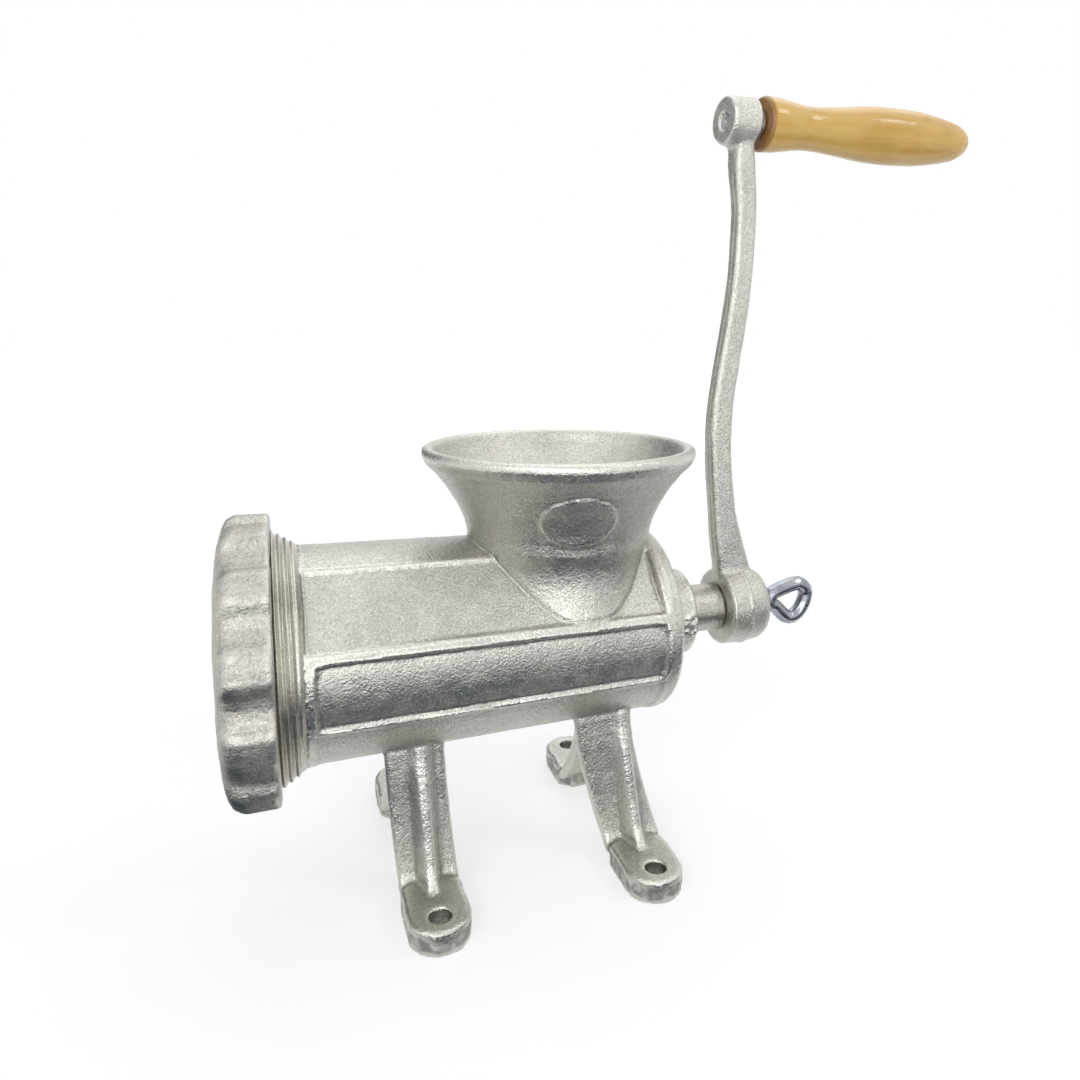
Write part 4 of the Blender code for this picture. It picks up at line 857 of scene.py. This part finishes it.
CRANK_VOXEL = 0.5 * MM
CRANK_SOFTENING = 9
CRANK_GRAIN = ((7 * MM, 0.12 * MM, 21), (1.8 * MM, 0.06 * MM, 22))
HUB_FRONT_X = COLLAR_X + 18.35 * MM
HUB_SEGMENTS = 32
HUB_ROUND_REACHES = (17.6 * MM, 18.4 * MM)
BOSS_SEGMENTS = 28
BOSS_ROUND_REACHES = (10.3 * MM, 10.9 * MM)
COUNTERSINK_REACHES = (3.3 * MM, 4.3 * MM)
COUNTERSINK_X = (BOSS_FACE_X + 0.3 * MM, BOSS_FACE_X + 1.0 * MM)
COUNTERSINK_DEPTH = 0.9 * MM

# Fillets where the arm grows out of the hub and the boss
HUB_FILLET_BAND = (15.0 * MM, 17.5 * MM, 20 * MM, 25 * MM)
HUB_FILLET_RISES = (8 * MM, 13 * MM)
BOSS_FILLET_BAND = (7.0 * MM, 9.0 * MM, 13 * MM, 18 * MM)
BOSS_FILLET_DROPS = (5 * MM, 8 * MM)
FILLET_PULL = 0.5
FILLET_REPEATS = 34

# Fine ridges that the mould left: half widths at the crest and at the foot, height
HUB_RIDGE_X = HUB_FRONT_X + 9.6 * MM
HUB_FACE_RIDGE_X = HUB_FRONT_X + 1.3 * MM
HUB_RIDGE_BAND = (15.5 * MM, 16.5 * MM, 18.0 * MM, 18.6 * MM)
HUB_RIDGE = (0.25 * MM, 0.9 * MM, 0.45 * MM)
HUB_RIDGE_WANDER = (9 * MM, 0.25 * MM, 61)
HUB_FACE_RIDGE = (0.2 * MM, 0.8 * MM, 0.22 * MM)
ARM_RIDGE_BAND = (21 * MM, 25 * MM, 188 * MM, 196 * MM)
ARM_RIDGE = (0.3 * MM, 0.9 * MM, 0.30 * MM)
ARM_RIDGE_WANDER = (12 * MM, 0.4 * MM, 62)
ARM_RIDGE_FACING = (0.6, 0.9)


def ridge(shape, away):
    """Return the height of a ridge at a distance from its middle."""
    crest, foot, height = shape
    return fade_out(crest, foot, np.abs(away)) * height


def parting_ridges(points, normals):
    """Return the height of the ridges that the mould left on the hub and the arm."""
    from_axis = from_line(points, AXIS_Z)
    along = points[:, 0] - HUB_RIDGE_X - layered_lumps(points, HUB_RIDGE_WANDER)
    on_hub = band(HUB_RIDGE_BAND, from_axis)
    height = on_hub * ridge(HUB_RIDGE, along)
    height += on_hub * ridge(HUB_FACE_RIDGE, points[:, 0] - HUB_FACE_RIDGE_X)
    middle = points[:, 1] + layered_lumps(points, ARM_RIDGE_WANDER)
    on_arm = band(ARM_RIDGE_BAND, from_axis)
    on_arm = on_arm * smooth_step(*ARM_RIDGE_FACING, np.abs(normals[:, 0]))
    return height + on_arm * ridge(ARM_RIDGE, middle)


def fillet_arm(points, edges, repeats):
    """Fill the corners where the arm grows out of the hub and the boss."""
    at_hub = band(HUB_FILLET_BAND, from_line(points, AXIS_Z))
    at_hub *= smooth_step(*HUB_FILLET_RISES, points[:, 2] - AXIS_Z)
    at_boss = band(BOSS_FILLET_BAND, from_line(points, HANDLE_Z))
    at_boss *= smooth_step(*BOSS_FILLET_DROPS, HANDLE_Z - points[:, 2])
    share = FILLET_PULL * np.clip(at_hub + at_boss, 0, 1)
    for _ in range(repeats):
        points = mix_points(points, around(points, edges), share)
    return points


def make_crank():
    """Make the crank's skin, with round hub and boss and soft cast edges."""
    crank = copy_of("crank_arm", "crank_casting")
    remesh(crank, full_or_quick(CRANK_VOXEL))
    points = read_points(crank)
    edges = read_edges(crank)
    hub = true_round(points, (0, 0, AXIS_Z), 0, HUB_SEGMENTS)
    boss = true_round(points, (0, 0, HANDLE_Z), 0, BOSS_SEGMENTS)
    at_hub = fade_out(*HUB_ROUND_REACHES, from_line(points, AXIS_Z))
    at_boss = fade_out(*BOSS_ROUND_REACHES, from_line(points, HANDLE_Z))
    points = mix_points(points, hub, at_hub)
    points = mix_points(points, boss, at_boss)
    countersink = fade_out(*COUNTERSINK_REACHES, from_line(points, HANDLE_Z))
    countersink = countersink * fade_out(*COUNTERSINK_X, points[:, 0])
    points[:, 0] += countersink * COUNTERSINK_DEPTH
    points = soften(points, edges, full_or_quick(CRANK_SOFTENING))
    points = fillet_arm(points, edges, full_or_quick(FILLET_REPEATS))
    write_points(crank, points)
    raise_points(crank, parting_ridges(points, read_normals(crank)))
    grain(crank, *CRANK_GRAIN)
    return finish_skin(crank, "crank_arm")


# The handle pin, whose end is hammered into the boss's countersink

PIN_VOXEL = 0.35 * MM
PIN_SEGMENTS = 20
PIN_SOFTENING = 3
PIN_FLARE = 0.12
PIN_FLARE_X = (BOSS_FACE_X + 0.6 * MM, BOSS_FACE_X + 2.2 * MM)
PEEN_X = (BOSS_FACE_X + 0.2 * MM, BOSS_FACE_X + 1.2 * MM)
PEEN_SINK = 0.9 * MM
PEEN_CONE_REACHES = (0.3 * MM, 2.9 * MM)
PEEN_CONE_DEPTH = 1.1 * MM
PEEN_LUMPS = (1.7 * MM, 0.45 * MM, 71)


def make_peened_pin():
    """Make the handle pin's skin, with its end hammered into the countersink."""
    pin = copy_of("handle_pin", "riveted_pin")
    remesh(pin, PIN_VOXEL)
    points = true_round(read_points(pin), (0, 0, HANDLE_Z), 0, PIN_SEGMENTS)
    cone = fade_out(*PEEN_CONE_REACHES, from_line(points, HANDLE_Z))
    flare = 1 + PIN_FLARE * fade_out(*PIN_FLARE_X, points[:, 0])
    points[:, 1] *= flare
    points[:, 2] = HANDLE_Z + (points[:, 2] - HANDLE_Z) * flare
    beaten = PEEN_SINK + PEEN_CONE_DEPTH * cone + layered_lumps(points, PEEN_LUMPS)
    points[:, 0] += fade_out(*PEEN_X, points[:, 0]) * beaten
    write_points(pin, soften(points, read_edges(pin), PIN_SOFTENING))
    return finish_skin(pin, "handle_pin", "crank_arm")


# The feed screw. Its shaft is made round from about X = 0 on.

SCREW_VOXEL = 0.8 * MM
SCREW_SOFTENING = 4
SCREW_GRAIN = (2.0 * MM, 0.04 * MM, 31)
SHAFT_SEGMENTS = 32
SHAFT_X = (-0.5 * MM, 0.5 * MM)


def make_feed_screw():
    """Make the feed screw's skin, with a true round shaft."""
    screw = copy_of("auger", "feed_screw")
    remesh(screw, full_or_quick(SCREW_VOXEL))
    points = read_points(screw)
    shaft = true_round(points, (0, 0, AXIS_Z), 0, SHAFT_SEGMENTS)
    points = mix_points(points, shaft, smooth_step(*SHAFT_X, points[:, 0]))
    write_points(screw, soften(points, read_edges(screw), SCREW_SOFTENING))
    grain(screw, SCREW_GRAIN)
    return finish_skin(screw, "auger")


# Turned pieces: node, voxel, height of the line they turn about, segments, softening

TURNED_PIECES = {
    "turned_grip": ("grip", 0.8 * MM, HANDLE_Z, 24, 10),
    "screw_head": ("thumb_screw", 0.4 * MM, AXIS_Z, 24, 4),
    "screw_washer_ring": ("thumb_screw_washer", 0.4 * MM, AXIS_Z, 24, 3),
    "spacer_ring": ("grip_washer", 0.4 * MM, HANDLE_Z, 20, 3),
}


def make_turned_piece(name):
    """Make the skin of a piece that is turned about a line along X."""
    node, voxel, line_z, segments, repeats = TURNED_PIECES[name]
    piece = copy_of(node, name)
    remesh(piece, voxel)
    points = true_round(read_points(piece), (0, 0, line_z), 0, segments)
    write_points(piece, soften(points, read_edges(piece), repeats))
    return finish_skin(piece, node)


# The bent rod eye

EYE_VOXEL = 0.45 * MM
EYE_SOFTENING = 14


def make_eye():
    """Make the bent rod eye's skin."""
    eye = copy_of("thumb_screw_eye", "rod_eye")
    remesh(eye, EYE_VOXEL)
    write_points(eye, soften(read_points(eye), read_edges(eye), EYE_SOFTENING))
    return finish_skin(eye, "thumb_screw_eye")


# The cutting plate. A ring of holes is their number and their distance from the axis.

PLATE_VOXEL = 0.5 * MM
PLATE_SOFTENING = 3
PLATE_SEGMENTS = 60
PLATE_ROUND_REACHES = (38 * MM, 40 * MM)
HOLE_RINGS = ((6, 12.5 * MM), (12, 22.2 * MM), (18, 31.8 * MM))
HOLE_RADIUS = 4.0 * MM
HOLE_SEGMENTS = 10
STUD_HOLE_RADIUS = 5.8 * MM
STUD_HOLE_SEGMENTS = 24
HOLE_SKIN = 0.6 * MM
CHAMFER = 0.5 * MM
CHAMFER_SLOPE = 0.7
CHAMFER_END_X = PLATE_FACE_X + 0.6 * MM


def plate_holes():
    """Return each hole's place across and above the axis, radius, segments and start."""
    holes = [(0.0, 0.0, STUD_HOLE_RADIUS, STUD_HOLE_SEGMENTS, 0.0)]
    for count, ring in HOLE_RINGS:
        for number in range(count):
            turn = math.tau * number / count
            holes.append((ring * math.cos(turn), ring * math.sin(turn), HOLE_RADIUS,
                          HOLE_SEGMENTS, turn))
    return holes


def make_plate():
    """Make the cutting plate's skin, with true round holes and ground chamfers."""
    plate = copy_of("cutting_plate", "drilled_plate")
    remesh(plate, full_or_quick(PLATE_VOXEL))
    points = read_points(plate)
    rim = true_round(points, (0, 0, AXIS_Z), 0, PLATE_SEGMENTS, -math.pi / 2)
    at_rim = smooth_step(*PLATE_ROUND_REACHES, from_line(points, AXIS_Z))
    points = mix_points(points, rim, at_rim)
    for y, up, radius, segments, start in plate_holes():
        away = np.hypot(points[:, 1] - y, points[:, 2] - AXIS_Z - up)
        near = (away < radius + HOLE_SKIN).astype(float)
        turned = true_round(points, (0, y, AXIS_Z + up), 0, segments, start)
        points = mix_points(points, turned, near)
        away = np.hypot(points[:, 1] - y, points[:, 2] - AXIS_Z - up)
        cut = np.clip(radius + CHAMFER - away, 0, CHAMFER) * CHAMFER_SLOPE
        front = (points[:, 0] < CHAMFER_END_X) & (away < radius + CHAMFER)
        points[:, 0] += np.where(front, cut, 0)
    write_points(plate, soften(points, read_edges(plate), PLATE_SOFTENING))
    return finish_skin(plate, "cutting_plate")


# Dressing

def dress(piece, body, nodes, material):
    """Put a finished piece on its body, in place of its nodes."""
    piece.data.materials.clear()
    piece.data.materials.append(material)
    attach(piece, body)
    if nodes:
        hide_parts(*nodes)


def repaint(node, material):
    """Give a node of the model a finished material."""
    for material_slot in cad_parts[node].material_slots:
        material_slot.material = material


# Studio. A lamp is its place, the place it points at, its size and its power. A card
# is a sheet seen only in the metal, a painted reflection: its corners and its colour.

FLOOR_REACH = 12.0
FLOOR_Z = -0.2 * MM
FLOOR_COLOUR = (0.60, 0.60, 0.60)
FLOOR_ROUGHNESS = 0.9
FLOOR_SPECULAR = 0.1

# The floor glows only where it is seen, and more the further it is from the object
GLOW_DISTANCES = (0.35, 2.2)
GLOW_STRENGTHS = (0.58, 0.95)

WHITE = (1, 1, 1)
ROOM_COLOUR = (0.93, 0.96, 1.0)
ROOM_STRENGTH = 0.45
LAMPS = {
    "key": ((-1.15, -1.1, 1.05), (0, 0, 0.12), (1.2, 1.2), 6.5),
    "front": ((-0.20, -1.3, 0.34), (0, 0, 0.08), (1.0, 0.36), 3.6),
    "top": ((0.3, 0.5, 1.5), (0, 0, 0.12), (1.6, 1.2), 5),
    "window": ((0.97, -0.75, 1.23), (0.1, 0, 0.3), (0.30, 0.30), 2),
}
GROUND_Z = 2 * MM
# Cards seen only in the metal's reflections: painted dark reflections
CARDS = {
    "dark_reflection_ground": (
        ((-0.32, 0.05, GROUND_Z), (-0.15, 0.05, GROUND_Z), (-0.15, -0.066, GROUND_Z),
         (0.62, -0.066, GROUND_Z), (0.62, -0.30, GROUND_Z), (-0.34, -0.30, GROUND_Z)),
        (0.045, 0.065, 0.10)),
    "grey_reflection_wall": (
        ((-2.2, 1.7, 0), (-0.2, 1.7, 0), (-0.2, 1.7, 1.4), (-2.2, 1.7, 1.4)),
        (0.30, 0.31, 0.33)),
}
CARD_ROUGHNESS = 1.0


def rays_that_show(tree):
    """Return 1 for rays from the camera and for rays seen in metal and glass."""
    path = tree.nodes.new("ShaderNodeLightPath")
    seen = maths(tree, 'MAXIMUM', path.outputs["Is Camera Ray"], path.outputs["Is Glossy Ray"])
    return maths(tree, 'MAXIMUM', seen, path.outputs["Is Transmission Ray"])


def make_camera():
    """Put the camera where the photograph was taken from."""
    data = bpy.data.cameras.new("photo_camera")
    data.sensor_width = SENSOR_WIDTH
    data.lens = FOCAL_PIXELS / PHOTO_SIZE * SENSOR_WIDTH
    data.shift_x = (PHOTO_SIZE / 2 - OPTICAL_CENTRE[0]) / PHOTO_SIZE
    data.shift_y = (OPTICAL_CENTRE[1] - PHOTO_SIZE / 2) / PHOTO_SIZE
    data.clip_start = CLIP_START
    data.clip_end = CLIP_END
    camera = new_object("photo_camera", data)
    yaw = math.radians(CAMERA_YAW)
    pitch = math.radians(CAMERA_PITCH)
    roll = math.radians(CAMERA_ROLL)
    forward = Vector((math.sin(yaw) * math.cos(pitch),
                      math.cos(yaw) * math.cos(pitch),
                      math.sin(pitch)))
    right = Vector((math.cos(yaw), -math.sin(yaw), 0))
    up = right.cross(forward)
    turned_right = right * math.cos(roll) + up * math.sin(roll)
    turned_up = up * math.cos(roll) - right * math.sin(roll)
    axes = Matrix((turned_right, turned_up, -forward)).transposed()
    camera.matrix_world = Matrix.Translation(CAMERA_PLACE) @ axes.to_4x4()
    bpy.context.scene.camera = camera


def make_floor():
    """Make the plain pale floor, which keeps the object's shadow."""
    corners = [(x * FLOOR_REACH, y * FLOOR_REACH, FLOOR_Z)
               for x, y in ((-1, -1), (1, -1), (1, 1), (-1, 1))]
    floor = new_piece("floor", corners, [tuple(range(len(corners)))])
    material, tree, shader, place = new_material("pale_floor", FLOOR_COLOUR, 0.0,
                                                 FLOOR_ROUGHNESS)
    shader.inputs["Specular IOR Level"].default_value = FLOOR_SPECULAR
    away = add_node(tree, "ShaderNodeVectorMath", {0: place}, operation='LENGTH')
    level = ranged(tree, away.outputs["Value"], *GLOW_DISTANCES, *GLOW_STRENGTHS)
    strength = maths(tree, 'MULTIPLY', rays_that_show(tree), level)
    glow = add_node(tree, "ShaderNodeEmission", {"Color": (*WHITE, 1), "Strength": strength})
    both = add_node(tree, "ShaderNodeAddShader", {0: shader.outputs[0], 1: glow.outputs[0]})
    tree.links.new(both.outputs[0], tree.nodes["Material Output"].inputs["Surface"])
    floor.data.materials.append(material)


def make_world():
    """Light the room evenly and show it white behind the object."""
    world = bpy.data.worlds.new("studio")
    world.use_nodes = True
    bpy.context.scene.world = world
    tree = world.node_tree
    room = tree.nodes["Background"]
    room.inputs["Color"].default_value = (*ROOM_COLOUR, 1)
    room.inputs["Strength"].default_value = ROOM_STRENGTH
    seen = add_node(tree, "ShaderNodeBackground", {"Color": (*WHITE, 1), "Strength": 1.0})
    mixed = add_node(tree, "ShaderNodeMixShader",
                     {0: rays_that_show(tree), 1: room.outputs[0], 2: seen.outputs[0]})
    tree.links.new(mixed.outputs[0], tree.nodes["World Output"].inputs["Surface"])


def make_lamp(name, place, aim, size, watts):
    """Add a soft rectangular lamp."""
    data = bpy.data.lights.new(name, 'AREA')
    data.shape = 'RECTANGLE'
    data.size, data.size_y = size
    data.energy = watts
    lamp = new_object(name, data)
    lamp.location = place
    direction = Vector(aim) - Vector(place)
    lamp.rotation_euler = direction.to_track_quat('-Z', 'Y').to_euler()


def make_card(name, corners, colour):
    """Hang a dark card that only shows in the metal's reflections."""
    card = new_piece(name, corners, [tuple(range(len(corners)))])
    material = new_material(name, colour, 0.0, CARD_ROUGHNESS)[0]
    card.data.materials.append(material)
    card.visible_camera = False
    card.visible_diffuse = False
    card.visible_shadow = False
    card.visible_transmission = False


def make_studio():
    """Make the camera, floor, world, lamps and cards."""
    make_camera()
    make_floor()
    make_world()
    for name, lamp in LAMPS.items():
        make_lamp(name, *lamp)
    for name, card in CARDS.items():
        make_card(name, *card)


def make_grinder():
    """Make every visible piece and dress it."""
    metals = {name: cast_metal(name) for name in CAST_METALS}
    metals.update({name: plain_metal(name) for name in PLAIN_METALS})
    wood = varnished_wood("varnished_wood")
    zinc = metals["bright_zinc"]
    steel = metals["ground_steel"]
    pin = metals["pin_steel"]

    dress(make_casting(), "housing", ["body_casting"], metals["tinned_iron"])
    dress(make_thread(), "housing", [], metals["thread_iron"])
    dress(make_nut(), "nut", ["ring_nut"], metals["nut_iron"])
    dress(make_crank(), "crank", ["crank_arm"], metals["crank_iron"])
    dress(make_feed_screw(), "crank", ["auger"], metals["auger_iron"])
    dress(make_turned_piece("turned_grip"), "handle", ["grip"], wood)
    dress(make_eye(), "screw", ["thumb_screw_eye"], zinc)
    dress(make_turned_piece("screw_head"), "screw", ["thumb_screw"], zinc)
    dress(make_turned_piece("screw_washer_ring"), "screw_washer", ["thumb_screw_washer"],
          zinc)
    dress(make_peened_pin(), "crank", ["handle_pin"], pin)
    dress(make_turned_piece("spacer_ring"), "crank", ["grip_washer"], pin)
    dress(make_plate(), "plate", ["cutting_plate"], steel)
    for node in ("knife", "knife_stud"):
        repaint(node, steel)
    for node in ("plate_key_pin", "stud_lock_pin"):
        repaint(node, pin)
    repaint("thrust_washer", fibre_board("red_fibre"))


make_studio()
make_grinder()
bpy.context.scene.view_settings.view_transform = 'Standard'
